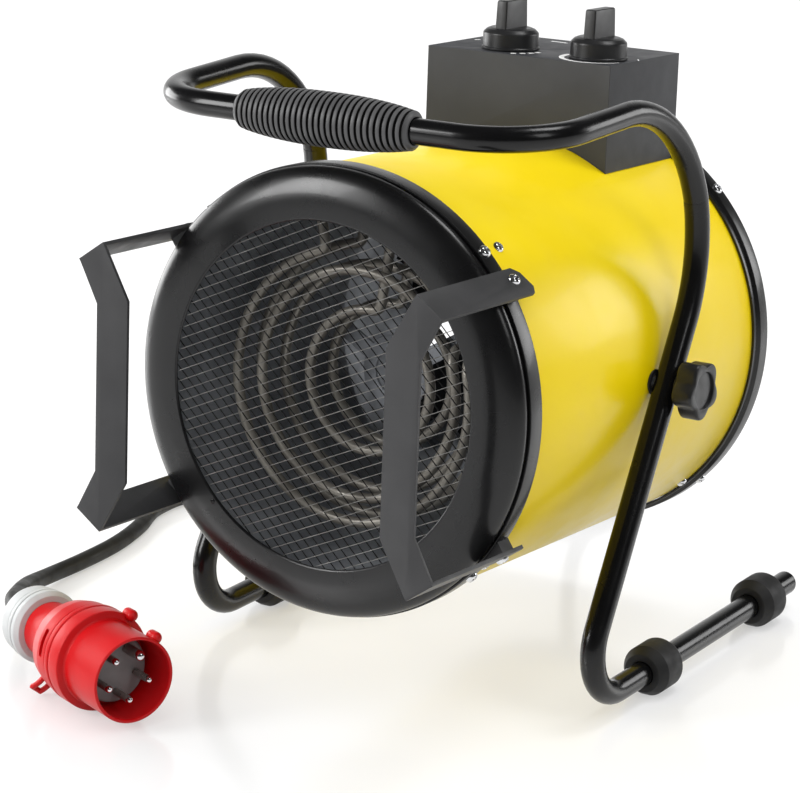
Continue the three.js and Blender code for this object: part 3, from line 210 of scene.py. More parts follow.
def object_noise(tree, scale, detail):
    """Noise in the object's own coordinates, so that a scale of 100 makes spots of about a centimetre."""
    place = node(tree, "ShaderNodeTexCoord")
    noise = node(tree, "ShaderNodeTexNoise", Scale=scale, Detail=detail)
    wire(tree, place, "Object", noise, "Vector")
    return noise


def vary_colour(tree, bsdf, dark, light, scale):
    ramp = node(tree, "ShaderNodeValToRGB")
    low, high = ramp.color_ramp.elements
    low.position, high.position = NOISE_LOW, NOISE_HIGH
    low.color, high.color = srgb(dark), srgb(light)
    wire(tree, object_noise(tree, scale, 4.0), "Fac", ramp, "Fac")
    wire(tree, ramp, "Color", bsdf, "Base Color")


def vary_roughness(tree, bsdf, low, high, scale):
    spread = map_range(tree, NOISE_LOW, NOISE_HIGH, low, high)
    wire(tree, object_noise(tree, scale, 3.0), "Fac", spread, "Value")
    wire(tree, spread, "Result", bsdf, "Roughness")


def add_grain(tree, bsdf, scale, strength, height):
    bump = node(tree, "ShaderNodeBump", Strength=strength, Distance=height * MICRON)
    wire(tree, object_noise(tree, scale, 2.0), "Fac", bump, "Height")
    wire(tree, bump, "Normal", bsdf, "Normal")


def new_material(name):
    mat = bpy.data.materials.new(name)
    mat.use_nodes = True
    return mat, mat.node_tree, mat.node_tree.nodes["Principled BSDF"]


def finish(name, colour, rough, grain, metallic=0.0, coat=0.0, specular=0.5):
    """A material from what varies in it. colour is two display colours and the scale of the noise between
    them, rough is two values and a scale, and grain is a scale, a strength and a height in micrometres."""
    mat, tree, bsdf = new_material(name)
    bsdf.inputs["Metallic"].default_value = metallic
    bsdf.inputs["Coat Weight"].default_value = coat
    bsdf.inputs["Coat Roughness"].default_value = COAT_ROUGHNESS
    bsdf.inputs["Specular IOR Level"].default_value = specular
    vary_colour(tree, bsdf, *colour)
    vary_roughness(tree, bsdf, *rough)
    add_grain(tree, bsdf, *grain)
    return mat


YELLOW = finish(
    "yellow_powder_coat", colour=((249, 217, 2), (253, 224, 4), 9), rough=(0.28, 0.38, 60),
    grain=(900, 0.12, 100), coat=0.06, specular=0.35,
)
GLOSS = finish(
    "black_gloss_enamel", colour=((9, 9, 10), (14, 14, 15), 14), rough=(0.21, 0.29, 45),
    grain=(700, 0.08, 100), coat=0.15, specular=0.3,
)
PRESSING = finish(
    "black_enamel_pressing", colour=((11, 11, 12), (16, 16, 17), 12), rough=(0.25, 0.31, 40),
    grain=(700, 0.04, 60), coat=0.12, specular=0.4,
)
SATIN = finish(
    "black_satin_powder", colour=((55, 55, 56), (62, 62, 63), 30), rough=(0.38, 0.48, 80),
    grain=(1600, 0.2, 100), specular=0.3,
)
DARK_SATIN = finish(
    "dark_satin_powder", colour=((21, 21, 22), (28, 28, 29), 30), rough=(0.36, 0.46, 80),
    grain=(1600, 0.2, 100),
)
BOX_PAINT = finish(
    "black_matt_powder", colour=((56, 57, 60), (62, 63, 66), 26), rough=(0.46, 0.56, 90),
    grain=(1800, 0.25, 100), specular=0.25,
)
RUBBER = finish(
    "black_rubber", colour=((26, 26, 27), (35, 35, 36), 40), rough=(0.48, 0.64, 120),
    grain=(1300, 0.3, 100), specular=0.35,
)
GRIP_RUBBER = finish(
    "grip_rubber", colour=((73, 73, 74), (84, 84, 85), 40), rough=(0.4, 0.52, 120),
    grain=(1300, 0.25, 100),
)
# Painted shade: the grooves are the same rubber as the ribs, coloured near-black for the shade between the
# ribs.
GROOVE_SHADE = finish(
    "groove_painted_shade", colour=((8, 8, 8), (15, 15, 15), 40), rough=(0.55, 0.7, 120),
    grain=(1300, 0.25, 100), specular=0.2,
)
PLASTIC = finish(
    "black_moulded_plastic", colour=((29, 29, 30), (36, 36, 37), 50), rough=(0.28, 0.4, 150),
    grain=(2200, 0.16, 60), specular=0.38,
)
CORD_RUBBER = finish(
    "cord_rubber", colour=((17, 16, 13), (29, 28, 23), 35), rough=(0.42, 0.6, 90),
    grain=(1500, 0.2, 80), specular=0.35,
)
STEEL = finish(
    "zinc_steel", colour=((160, 162, 165), (190, 192, 194), 60), rough=(0.26, 0.44, 150),
    grain=(900, 0.1, 50), metallic=1.0,
)
WIRE_STEEL = finish(
    "mesh_wire_steel", colour=((112, 111, 108), (150, 149, 146), 90), rough=(0.34, 0.55, 200),
    grain=(1500, 0.1, 40), metallic=0.9,
)
# Painted shade: the back wires are the same steel as the front ones, coloured near-black where they catch no
# light.
SHADED_WIRE = finish(
    "mesh_wire_painted_shade", colour=((9, 9, 9), (16, 16, 15), 90), rough=(0.42, 0.6, 200),
    grain=(1500, 0.1, 40), specular=0.25,
)
# Real chrome on the screw heads. On the plug pins' rounded ends, this bright chrome is a painted highlight.
CHROME_AND_TIP_HIGHLIGHT = finish(
    "bright_chrome_and_tip_highlight", colour=((210, 211, 213), (232, 233, 235), 200), rough=(0.1, 0.22, 300),
    grain=(1200, 0.05, 30), metallic=1.0,
)
DUCT = finish(
    "heat_dark_steel", colour=((104, 107, 112), (154, 157, 162), 18), rough=(0.45, 0.7, 40),
    grain=(500, 0.15, 200), metallic=0.35,
)
ELEMENT = finish(
    "heat_brown_sheath", colour=((100, 96, 89), (148, 144, 136), 26), rough=(0.32, 0.5, 80),
    grain=(800, 0.2, 100), metallic=0.5,
)
RED = finish(
    "red_moulded_plastic", colour=((195, 10, 16), (205, 15, 21), 30), rough=(0.33, 0.4, 90),
    grain=(1500, 0.03, 40), specular=0.3,
)
GREY = finish(
    "grey_moulded_plastic", colour=((188, 190, 190), (204, 206, 206), 40), rough=(0.38, 0.54, 110),
    grain=(1600, 0.18, 80),
)
INSERT = finish(
    "dark_grey_insert", colour=((114, 114, 114), (130, 130, 130), 60), rough=(0.42, 0.58, 160),
    grain=(1600, 0.18, 80),
)
PIN = finish(
    "nickel_pin", colour=((112, 106, 102), (140, 134, 130), 120), rough=(0.26, 0.36, 200),
    grain=(1500, 0.08, 40), metallic=0.5,
)
PRINT = finish(
    "white_print", colour=((224, 224, 222), (244, 244, 242), 400), rough=(0.45, 0.65, 500),
    grain=(2000, 0.1, 30),
)


# -------- geometry helpers
NEARLY_STRAIGHT = math.radians(174)


def add_object(name, data):
    made = bpy.data.objects.new(name, data)
    bpy.context.scene.collection.objects.link(made)
    return made


def smooth(data, sharp):
    """Smooth shading, apart from edges that turn more than some degrees."""
    data.polygons.foreach_set("use_smooth", [True] * len(data.polygons))
    data.set_sharp_from_angle(angle=math.radians(sharp))


def piece(name, verts, faces, place, mat, body, slot, replaces=(), sharp=32):
    """A smooth shaded mesh piece from millimetre coordinates in a given place."""
    data = bpy.data.meshes.new(name)
    data.from_pydata([place @ Vector(v) for v in verts], [], faces)
    data.validate()
    fix = bmesh.new()
    fix.from_mesh(data)
    bmesh.ops.remove_doubles(fix, verts=fix.verts, dist=1e-7)
    bmesh.ops.recalc_face_normals(fix, faces=fix.faces)
    fix.to_mesh(data)
    fix.free()
    smooth(data, sharp)
    data.materials.append(mat)
    made = add_object(name, data)
    if body:
        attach(made, body)
    if replaces:
        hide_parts(*replaces)
    return made


def polar(r, y, angle):
    """A point at an angle round the Y axis."""
    return r * math.cos(angle), y, r * math.sin(angle)


def corner_curve(a, corner, b, steps):
    """Points of a curve that leaves a towards a corner and arrives at b from it."""
    points = []
    for k in range(steps + 1):
        t = k / steps
        points.append(a * (1 - t) ** 2 + corner * 2 * t * (1 - t) + b * t**2)
    return points


def rounded(profile, radius, steps=4, closed=True):
    """A profile whose corners are rounded. Each point is (r, y) or (r, y, own radius)."""
    out = []
    count = len(profile)
    for i, point in enumerate(profile):
        here = Vector(point[:2])
        size = point[2] if len(point) > 2 else radius
        back = Vector(profile[i - 1][:2]) - here
        on = Vector(profile[(i + 1) % count][:2]) - here
        sharp = size <= 0 or here.x <= 0 or min(back.length, on.length) < 1e-6
        if sharp or (not closed and i in (0, count - 1)) or back.angle(on) > NEARLY_STRAIGHT:
            out.append(tuple(here))
            continue
        reach = min(size / math.tan(back.angle(on) / 2), back.length * 0.48, on.length * 0.48)
        a = here + back.normalized() * reach
        b = here + on.normalized() * reach
        out += [tuple(p) for p in corner_curve(a, here, b, steps)]
    return out


def ring_faces(first, rings, count):
    """Faces between neighbouring rings of as many points each."""
    faces = []
    for low in range(first, first + (rings - 1) * count, count):
        for k in range(count):
            n = (k + 1) % count
            faces.append((low + k, low + n, low + count + n, low + count + k))
    return faces


def closed_rings(rings, count):
    """The same, with a face over each end."""
    last = (rings - 1) * count
    ends = [tuple(range(count))[::-1], tuple(range(last, last + count))]
    return ring_faces(0, rings, count) + ends


def lathe(profile, segments, axis="Y", closed=True):
    """Vertices and faces of a profile of (r, y) turned about Y, or about another axis."""
    rings = []
    verts = []
    for r, y in profile:
        if r <= 1e-6:
            rings.append([len(verts)])
            verts.append((0, y, 0))
            continue
        rings.append([len(verts) + k for k in range(segments)])
        verts += [polar(r, y, 2 * math.pi * k / segments) for k in range(segments)]
    faces = []
    pairs = list(zip(rings, rings[1:]))
    if closed:
        pairs.append((rings[-1], rings[0]))
    for low, high in pairs:
        if len(low) == 1 and len(high) == 1:
            continue
        for k in range(segments):
            n = (k + 1) % segments
            if len(low) == 1:
                faces.append((low[0], high[n], high[k]))
            elif len(high) == 1:
                faces.append((low[k], low[n], high[0]))
            else:
                faces.append((low[k], low[n], high[n], high[k]))
    if axis == "X":
        verts = [(y, -x, z) for x, y, z in verts]
    if axis == "Z":
        verts = [(x, -z, y) for x, y, z in verts]
    return verts, faces


def shifted(shape, x, y, z):
    return [(vx + x, vy + y, vz + z) for vx, vy, vz in shape[0]], shape[1]


def together(*shapes):
    """Shapes joined into one."""
    verts = []
    faces = []
    for vs, fs in shapes:
        base = len(verts)
        verts += vs
        faces += [tuple(i + base for i in f) for f in fs]
    return verts, faces


def sweep(points, radius, sides):
    """A round tube along points, with frames carried along so that it doesn't twist."""
    points = [Vector(p) for p in points]
    tangents = []
    for i in range(len(points)):
        before = points[max(i - 1, 0)]
        after = points[min(i + 1, len(points) - 1)]
        tangents.append((after - before).normalized())
    side = tangents[0].orthogonal().normalized()
    verts = []
    for p, tangent in zip(points, tangents):
        side = (side - tangent * side.dot(tangent)).normalized()
        other = tangent.cross(side)
        for k in range(sides):
            a = 2 * math.pi * k / sides
            verts.append(tuple(p + (side * math.cos(a) + other * math.sin(a)) * radius))
    return verts, closed_rings(len(points), sides)


def bent_route(corners, radii, steps):
    """A line through corners, with an arc of its own radius at each one."""
    corners = [Vector(c) for c in corners]
    route = [corners[0]]
    for i in range(1, len(corners) - 1):
        here = corners[i]
        back = (corners[i - 1] - here).normalized()
        on = (corners[i + 1] - here).normalized()
        angle = back.angle(on)
        centre = here + (back + on).normalized() * (radii[i - 1] / math.sin(angle / 2))
        reach = radii[i - 1] / math.tan(angle / 2)
        start = here + back * reach - centre
        end = here + on * reach - centre
        turn = math.pi - angle
        for k in range(steps + 1):
            f = k / steps
            arm = (start * math.sin((1 - f) * turn) + end * math.sin(f * turn)) / math.sin(turn)
            route.append(centre + arm)
    route.append(corners[-1])
    return route


def bevel(obj, width):
    """Rounds an object's sharp edges. The width is in millimetres."""
    rounding = obj.modifiers.new("edges", "BEVEL")
    rounding.width = width * MM
    rounding.segments = 3
    rounding.limit_method = "ANGLE"
    rounding.angle_limit = math.radians(40)
    rounding.harden_normals = True


def keep_node(name, mat, edge=0.0, sharp=32):
    """A CAD node that stays, with a finish and perhaps rounded edges."""
    obj = NODES[name]
    obj.data.materials.clear()
    obj.data.materials.append(mat)
    smooth(obj.data, sharp)
    if edge:
        weld = obj.modifiers.new("weld", "WELD")
        weld.merge_threshold = 1e-6
        flat = obj.modifiers.new("flat", "DECIMATE")
        flat.decimate_type = "DISSOLVE"
        flat.angle_limit = math.radians(0.5)
        bevel(obj, edge)


# -------- camera
CAMERA_LENS = 142.21
CAMERA_PLACE = (1.12205, -1.77718, 0.8130)
CAMERA_DOWN = 16.58                 # degrees below the horizon
CAMERA_ROUND = 33.17                # degrees from straight in front of the outlet


def make_camera():
    data = bpy.data.cameras.new("camera")
    data.lens = CAMERA_LENS
    data.sensor_width = 36
    data.clip_end = 20
    cam = add_object("camera", data)
    cam.location = CAMERA_PLACE
    cam.rotation_euler = (math.radians(90 - CAMERA_DOWN), 0, math.radians(CAMERA_ROUND))
    bpy.context.scene.camera = cam


make_camera()


# -------- cord
def between(a, b, start, end, now):
    """The point that is reached now on a way that leaves a at the start and reaches b at the end."""
    return a * ((end - now) / (end - start)) + b * ((now - start) / (end - start))


def smooth_line(points, spacing=5.0):
    """A centripetal Catmull-Rom line through points, resampled evenly."""
    p = [Vector(x) for x in points]
    p = [p[0] * 2 - p[1]] + p + [p[-1] * 2 - p[-2]]
    dense = []
    for i in range(1, len(p) - 2):
        p0, p1, p2, p3 = p[i - 1 : i + 3]
        t0 = 0.0
        t1 = t0 + math.sqrt((p1 - p0).length)
        t2 = t1 + math.sqrt((p2 - p1).length)
        t3 = t2 + math.sqrt((p3 - p2).length)
        for k in range(24):
            t = t1 + (t2 - t1) * k / 24
            a1 = between(p0, p1, t0, t1, t)
            a2 = between(p1, p2, t1, t2, t)
            a3 = between(p2, p3, t2, t3, t)
            b1 = between(a1, a2, t0, t2, t)
            b2 = between(a2, a3, t1, t3, t)
            dense.append(between(b1, b2, t1, t2, t))
    dense.append(p[-2])
    length = sum((b - a).length for a, b in zip(dense, dense[1:]))
    count = max(2, round(length / spacing))
    out = [dense[0]]
    travelled = 0.0
    step = length / count
    for a, b in zip(dense, dense[1:]):
        leg = (b - a).length
        while len(out) < count and travelled + leg >= step * len(out):
            out.append(a.lerp(b, (step * len(out) - travelled) / leg))
        travelled += leg
    out.append(dense[-1])
    return out


def coil_line():
    """Half a turn inwards on the floor, half a turn that climbs, and half a turn outwards over the first."""
    turns = 2 * COIL_IN_TURNS + COIL_CLIMB_TURNS
    steps = round(turns * 48)
    line = []
    for i in range(steps + 1):
        turn = i / steps * turns
        angle = turn * 2 * math.pi
        climb = min(max((turn - COIL_IN_TURNS) / COIL_CLIMB_TURNS, 0), 1)
        wound = min(turn, COIL_IN_TURNS, turns - turn)
        radius = COIL_R + COIL_STEP * (COIL_IN_TURNS / 2 - wound)
        lift = COIL_LIFT * (0.5 - 0.5 * math.cos(math.pi * climb))
        x = COIL_CENTRE[0] + radius * math.cos(angle)
        y = COIL_CENTRE[1] + radius * math.sin(angle)
        line.append(Vector((x, y, CORD_REST + lift)))
    ahead = Vector((0, CORD_D, 0))
    return [line[0] - ahead] + line + [line[-1] - ahead]


def make_cord():
    """From the strain relief down to the coil behind the heater, then round its left side to the plug."""
    floor = CORD_REST
    to_own = STAND.inverted()
    exit_point = to_own @ (DRUM @ Vector(CORD_EXIT))
    ahead = to_own @ (DRUM @ (Vector(CORD_EXIT) + Vector((0, 1, 0)))) - exit_point
    coil = coil_line()
    start, end = coil[0], coil[-1]
    x0, y0, z0 = CORD_EXIT[0], exit_point.y, exit_point.z
    rise = [
        exit_point,
        exit_point + ahead * 13,
        (x0 - 1, y0 + 44, z0 - 16),
        (x0 - 4, y0 + 64, z0 - 62),
        (x0 - 8, y0 + 62, z0 - 130),
        (x0 - 14, y0 + 48, z0 - 205),
        (start.x + 6, y0 + 34, floor + 108),
        (start.x + 2, y0 + 34, floor + 54),
        (start.x, y0 + 48, floor + 17),
        (start.x, start.y - CORD_GAP - 12, floor),
    ]
    run = [
        (end.x, end.y - CORD_GAP - 12, end.z),
        (end.x - 5, end.y - 50, floor + 4),
        (end.x - 26, end.y - 88, floor),
        (-272, 356, floor),
        (-318, 336, floor),
        (-349, 304, floor),
        (-350.7, 262, floor),
        (-335, 220, floor),
        (-325, 178, floor),
        (-322, 134, floor),
        (-319, 90, floor + 2),
        (-307, 52, floor + 9),
        (-286, 16, floor + 18),
        (-265, -15, floor + 25),
        PLUG_TAIL - PLUG_WAY * (12 + CORD_GAP),
        PLUG_TAIL + PLUG_WAY * CORD_IN_NUT,
    ]
    line = smooth_line(rise) + coil + smooth_line(run)
    shape = sweep(line, CORD_D / 2, 20)
    cord = piece("mains_cord", *shape, STAND, CORD_RUBBER, None, "black_rubber")
    path = [STAND @ p for p in line]
    length = sum((b - a).length for a, b in zip(path, path[1:]))
    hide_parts("cord_rise", "cord_coil", "cord_run")
    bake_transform(cord)
    return cord, path, length


cord, cord_path, cord_length = make_cord()


# -------- stand
def make_frame():
    """Skids, uprights, shoulders and handle are one bent tube."""
    route = bent_route(RIGHT_CORNERS + LEFT_CORNERS, BEND_RADII + BEND_RADII[::-1], BEND_STEPS)
    shape = sweep(route, TUBE_R, 40)
    piece("frame_tube", *shape, STAND, GLOSS, "stand", "black_gloss_paint", ["handle_frame"])


def make_feet():
    """Caps like two cones back to back with a short barrel between them, flat where they stand."""
    half = [(TUBE_R + 0.3, CAP_HALF, 0.3), (CAP_END_R, CAP_HALF, 0.9), (CAP_R, CAP_HALF - CAP_SLOPE, 0.8)]
    profile = [(r, -y, corner) for r, y, corner in half] + half[::-1]
    for side, sign in SIDES:
        for end, y in CAP_PLACES.items():
            shape = lathe(rounded(profile, 0.8, 3), 96)
            verts, faces = shifted(shape, sign * SKID_X, y, SKID_HEIGHT)
            verts = [(vx, vy, max(vz, 0)) for vx, vy, vz in verts]
            name = f"foot_cap_{end}_{side}"
            piece(f"{name}_rubber", verts, faces, STAND, RUBBER, "stand", "black_rubber", [name], 24)
        plug = [(0, 2.3), (6.5, 2.3, 1.0), (8.2, 1.4, 0.6), (8.4, 0.3, 0.2), (0, 0.3)]
        shape = shifted(lathe(rounded(plug, 0.5), 48, closed=False), sign * SKID_X, SKID_END_Y, SKID_HEIGHT)
        name = f"tube_end_plug_{side}"
        piece(f"{name}_cap", *shape, STAND, PLASTIC, "stand", "black_plastic", [name])


def make_grip():
    """A barrel-shaped sleeve of flat-topped ribs with narrow grooves, and a plain collar at each end."""
    def crown(y):
        t = min(abs(y) / GRIP_HALF, 1)
        return GRIP_END_R + GRIP_SWELL * max(0, 1 - t**2.3) ** 0.85

    ribs_half = GRIP_HALF - GRIP_COLLAR
    pitch = 2 * ribs_half / GRIP_RIBS
    profile = [(TUBE_R + 0.4, -GRIP_HALF, 0.4), (10.5, -GRIP_HALF, 0.8), (12, -GRIP_HALF + 2.2, 1.0)]
    profile.append((crown(ribs_half), -ribs_half - 0.6, 0.5))
    for k in range(GRIP_RIBS):
        low = -ribs_half + k * pitch
        high = low + pitch
        foot = crown(low + pitch / 2) - GRIP_GROOVE
        profile.append((foot, low + 0.1, 0.15))
        profile.append((foot, low + pitch * 0.3, 0.15))
        profile.append((crown(low + pitch * 0.4), low + pitch * 0.42, 0.45))
        profile.append((crown(high), high - 0.1, 0.45))
    profile.append((crown(ribs_half) - GRIP_GROOVE, ribs_half + 0.1, 0.15))
    profile.append((crown(ribs_half) - GRIP_GROOVE, ribs_half + 1.3, 0.15))
    profile.append((crown(ribs_half), ribs_half + 2.0, 0.4))
    profile += [(12, GRIP_HALF - 2.2, 1.0), (10.5, GRIP_HALF, 0.8), (TUBE_R + 0.4, GRIP_HALF, 0.4)]
    shape = shifted(lathe(rounded(profile, 0.5, 3), 96, "X"), *GRIP_CENTRE)
    grip = piece("grip_rubber", *shape, STAND, GRIP_RUBBER, "stand", "black_rubber", ["grip_sleeve"], 50)
    # Faces sunk below the rib tops get the painted shade of the grooves.
    grip.data.materials.append(GROOVE_SHADE)
    centre = STAND @ Vector(GRIP_CENTRE)
    for face in grip.data.polygons:
        off = (face.center - centre) / MM
        if abs(off.x) < ribs_half + 1.5 and math.hypot(off.y, off.z) < crown(off.x) - 0.7:
            face.material_index = 1


make_frame()
make_feet()
make_grip()


# -------- drum
def make_shell():
    """The rolled shell, painted outside and bare steel inside."""
    front, rear = SHELL_SPAN
    inner = SHELL_R - SHELL_WALL
    profile = [(SHELL_R, front), (SHELL_R, rear), (inner, rear), (inner, front)]
    shape = lathe(rounded(profile, 0.5, 2), 200)
    skin = piece("drum_skin", *shape, DRUM, YELLOW, "drum", "yellow_paint", ["drum_shell"])
    skin.data.materials.append(DUCT)
    to_drum = DRUM.inverted()
    for face in skin.data.polygons:
        x, _, z = to_drum @ face.center
        if math.hypot(x, z) < inner + 0.2:
            face.material_index = 1


def nose(outer, inner, front, depth, steps=14):
    """A quarter of an ellipse from the widest circle round to the flat ring."""
    line = []
    for k in range(steps + 1):
        a = math.pi / 2 * k / steps
        line.append((inner + (outer - inner) * math.cos(a), front - depth * math.sin(a), 0))
    return line


def make_bezel():
    """A pressed ring: a skirt over the shell, a full round nose, and a flat ring inside it."""
    depth = NOSE_Y - FLAT_RING_Y
    profile = [(SKIRT_INNER, SKIRT_END, 0.4), (SKIRT_OUTER, SKIRT_END, 0.4)]
    profile += [(SKIRT_OUTER, 0.6, 0.3), (SKIRT_OUTER + 0.4, 0.2, 0.4)]
    profile += nose(BEZEL_R, FLAT_RING_R, NOSE_Y, depth)
    profile += [(OPENING_R + 1.2, FLAT_RING_Y, 1.2), (OPENING_R, FLAT_RING_Y + 0.8, 0.8)]
    profile.append((OPENING_R, FLAT_RING_Y + 1.5, 0.3))
    profile += nose(BEZEL_R - 1.8, FLAT_RING_R, NOSE_Y, depth - 1.5)[::-1]
    shape = lathe(rounded(profile, 0.6, 4), 220)
    piece("outlet_bezel", *shape, DRUM, PRESSING, "drum", "black_gloss_paint", ["front_bezel"])


def make_bands():
    """A plain hoop over the bezel's skirt, and a rear hoop with a step and a rounded back edge."""
    front, back = FRONT_BAND
    inner = SKIRT_OUTER + 0.3
    profile = [(inner, front, 0.2), (FRONT_BAND_R, front, 0.5), (FRONT_BAND_R, back, 0.5), (inner, back, 0.2)]
    shape = lathe(rounded(profile, 0.5, 3), 200)
    piece("front_hoop", *shape, DRUM, PRESSING, "drum", "black_gloss_paint", ["front_band"])
    front, back = REAR_BAND
    inner = SHELL_R + 0.4
    profile = [(inner, front, 0.2), (REAR_STEP_R, front, 0.5), (REAR_STEP_R, front + 4.0, 0.4)]
    profile += [(REAR_BAND_R, front + 5.6, 0.6), (REAR_BAND_R, back - 1.6, 0.9)]
    profile += [(REAR_STEP_R + 0.4, back, 0.6), (inner, back, 0.2)]
    shape = lathe(rounded(profile, 0.5, 3), 200)
    piece("rear_hoop", *shape, DRUM, PRESSING, "drum", "black_gloss_paint", ["rear_band"])


def straight_wires(turn, lift, radius):
    """One layer of parallel wires that lie across the outlet, as thin strips of six sides."""
    along = Vector((math.cos(math.radians(turn)), 0, math.sin(math.radians(turn))))
    across = Vector((-along.z, 0, along.x))
    shapes = []
    count = int(MESH_REACH / MESH_PITCH)
    for k in range(-count, count + 1):
        offset = k * MESH_PITCH
        half = math.sqrt(max(MESH_REACH**2 - offset**2, 0))
        if half < 6:
            continue
        a = across * offset - along * half + Vector((0, lift, 0))
        b = across * offset + along * half + Vector((0, lift, 0))
        shapes.append(sweep([a, b], radius, 6))
    return together(*shapes)


def make_mesh():
    """Bright wires in front, and thicker ones behind them at their own angle, painted dark as shade on the
    same steel.
    """
    front = straight_wires(MESH_TURNS[0], MESH_Y, MESH_WIRE_R)
    piece("mesh_wires_front", *front, DRUM, WIRE_STEEL, "drum", "bright_steel", ["front_mesh"])
    # The back layer's dark colour is painted shade.
    back = straight_wires(MESH_TURNS[1], MESH_Y + MESH_STEP, 1.35 * MESH_WIRE_R)
    piece("mesh_wires_back", *back, DRUM, SHADED_WIRE, "drum", "bright_steel", ["front_mesh"])


def make_duct():
    front, rear = DUCT_SPAN
    profile = [(DUCT_R, front), (DUCT_R, rear), (DUCT_R - DUCT_WALL, rear), (DUCT_R - DUCT_WALL, front)]
    shape = lathe(rounded(profile, 0.3, 1), 160)
    piece("duct_tube", *shape, DRUM, DUCT, "drum", "duct_steel", ["inner_duct"])


def element_run(radius, y, turn, fold):
    """From the duct's wall inwards, round a small bend and along the ring to the fold."""
    outer = Vector(polar(radius + ELEMENT_BEND, y, turn))
    corner = Vector(polar(radius, y, turn))
    start = turn + ELEMENT_BEND / radius
    inner = Vector(polar(radius, y, start))
    line = [polar(DUCT_R - 1.9, y, turn), polar((DUCT_R + radius + ELEMENT_BEND) / 2, y, turn)]
    line += corner_curve(outer, corner, inner, 8)
    for k in range(1, 97):
        line.append(polar(radius, y, start + (fold - start) * k / 96))
    return line


def make_elements():
    """Hairpin rings: the front run folds over and comes home behind itself."""
    half = ELEMENT_DEPTH / 2
    for number, (radius, y, *turns) in enumerate(ELEMENTS, 1):
        front, back, fold = (math.radians(t) for t in turns)
        bend = []
        for k in range(1, 16):
            a = math.pi * k / 16
            bend.append(polar(radius, y + half * (1 - math.cos(a)), fold + half / radius * math.sin(a)))
        home = element_run(radius, y + ELEMENT_DEPTH, back, fold)[::-1]
        shape = sweep(element_run(radius, y, front, fold) + bend + home, ELEMENT_R, 20)
        name = f"heating_element_{number}"
        piece(f"{name}_sheath", *shape, DRUM, ELEMENT, "drum", "element_sheath", [name])


make_shell()
make_bezel()
make_bands()
make_mesh()
make_duct()
make_elements()
for name in ("duct_flange_front", "duct_flange_rear"):
    keep_node(name, DUCT)
for name in ("element_support", "motor_bracket", "fan_motor"):
    keep_node(name, DUCT, 0.3)
keep_node("fan_rotor", DARK_SATIN)
for side, _ in SIDES:
    keep_node(f"front_guard_{side}", SATIN, 0.6)
keep_node("control_box", BOX_PAINT, 0.8)
for name in ("switch_body", "thermostat_body", "cable_gland"):
    keep_node(name, PLASTIC, 0.3)
keep_node("terminal_block", GREY, 0.3)
for name in ("switch_shaft", "thermostat_shaft"):
    keep_node(name, STEEL)
keep_node("strain_relief", RUBBER)


def grille_cells(steps):
    """For each ring of the grille and each step round it, whether there is metal."""
    cells = []
    for ring, outer in enumerate(GRILLE_RADII):
        row = [True] * steps
        if ring in GRILLE_SLOTS:
            share = 2 * math.pi / GRILLE_SLOTS[ring]
            half_web = GRILLE_WEB / outer / 2
            for k in range(steps):
                turn = (2 * math.pi * (k + 0.5) / steps) % share
                row[k] = not half_web < turn < share - half_web
        cells.append(row)
    return cells


def make_rear_grille():
    """A pressed disc with three rings of curved slots, cut from a fine polar grid."""
    steps = 720
    solid = grille_cells(steps)
    rings = len(GRILLE_RADII)
    verts = []
    for y in GRILLE_SPAN:
        for r in GRILLE_RADII:
            verts += [polar(r, y, 2 * math.pi * k / steps) for k in range(steps)]
    back = rings * steps
    faces = [tuple(range(steps)), tuple(range(back, back + steps))[::-1]]
    for ring in range(1, rings):
        for k in range(steps):
            if not solid[ring][k]:
                continue
            m = (k + 1) % steps
            low, high = (ring - 1) * steps, ring * steps
            a, b, c, d = low + k, low + m, high + m, high + k
            faces.append((a, d, c, b))
            faces.append((a + back, b + back, c + back, d + back))
            if not solid[ring - 1][k]:
                faces.append((a, b, b + back, a + back))
            if ring + 1 == rings or not solid[ring + 1][k]:
                faces.append((d, d + back, c + back, c))
            if not solid[ring][k - 1]:
                faces.append((a, a + back, d + back, d))
            if not solid[ring][m]:
                faces.append((b, c, c + back, b + back))
    for k in range(steps):
        m = (k + 1) % steps
        if not solid[1][k]:
            faces.append((k, k + back, m + back, m))
    shape = verts, faces
    piece("rear_grille_disc", *shape, DRUM, DARK_SATIN, "drum", "black_satin_paint", ["rear_grille"], 34)


make_rear_grille()


# -------- hand knobs
def scalloped_outline(steps=200):
    """Round lobes with broad hollows between them, as (y, z) points."""
    line = []
    for k in range(steps):
        a = 2 * math.pi * k / steps
        wave = 0.5 + 0.5 * math.cos(HAND_KNOB_LOBES * (a - math.radians(HAND_KNOB_FIRST_LOBE)))
        r = HAND_KNOB_R - HAND_KNOB_HOLLOW * (1 - wave**0.8)
        line.append((r * math.cos(a), r * math.sin(a)))
    return line


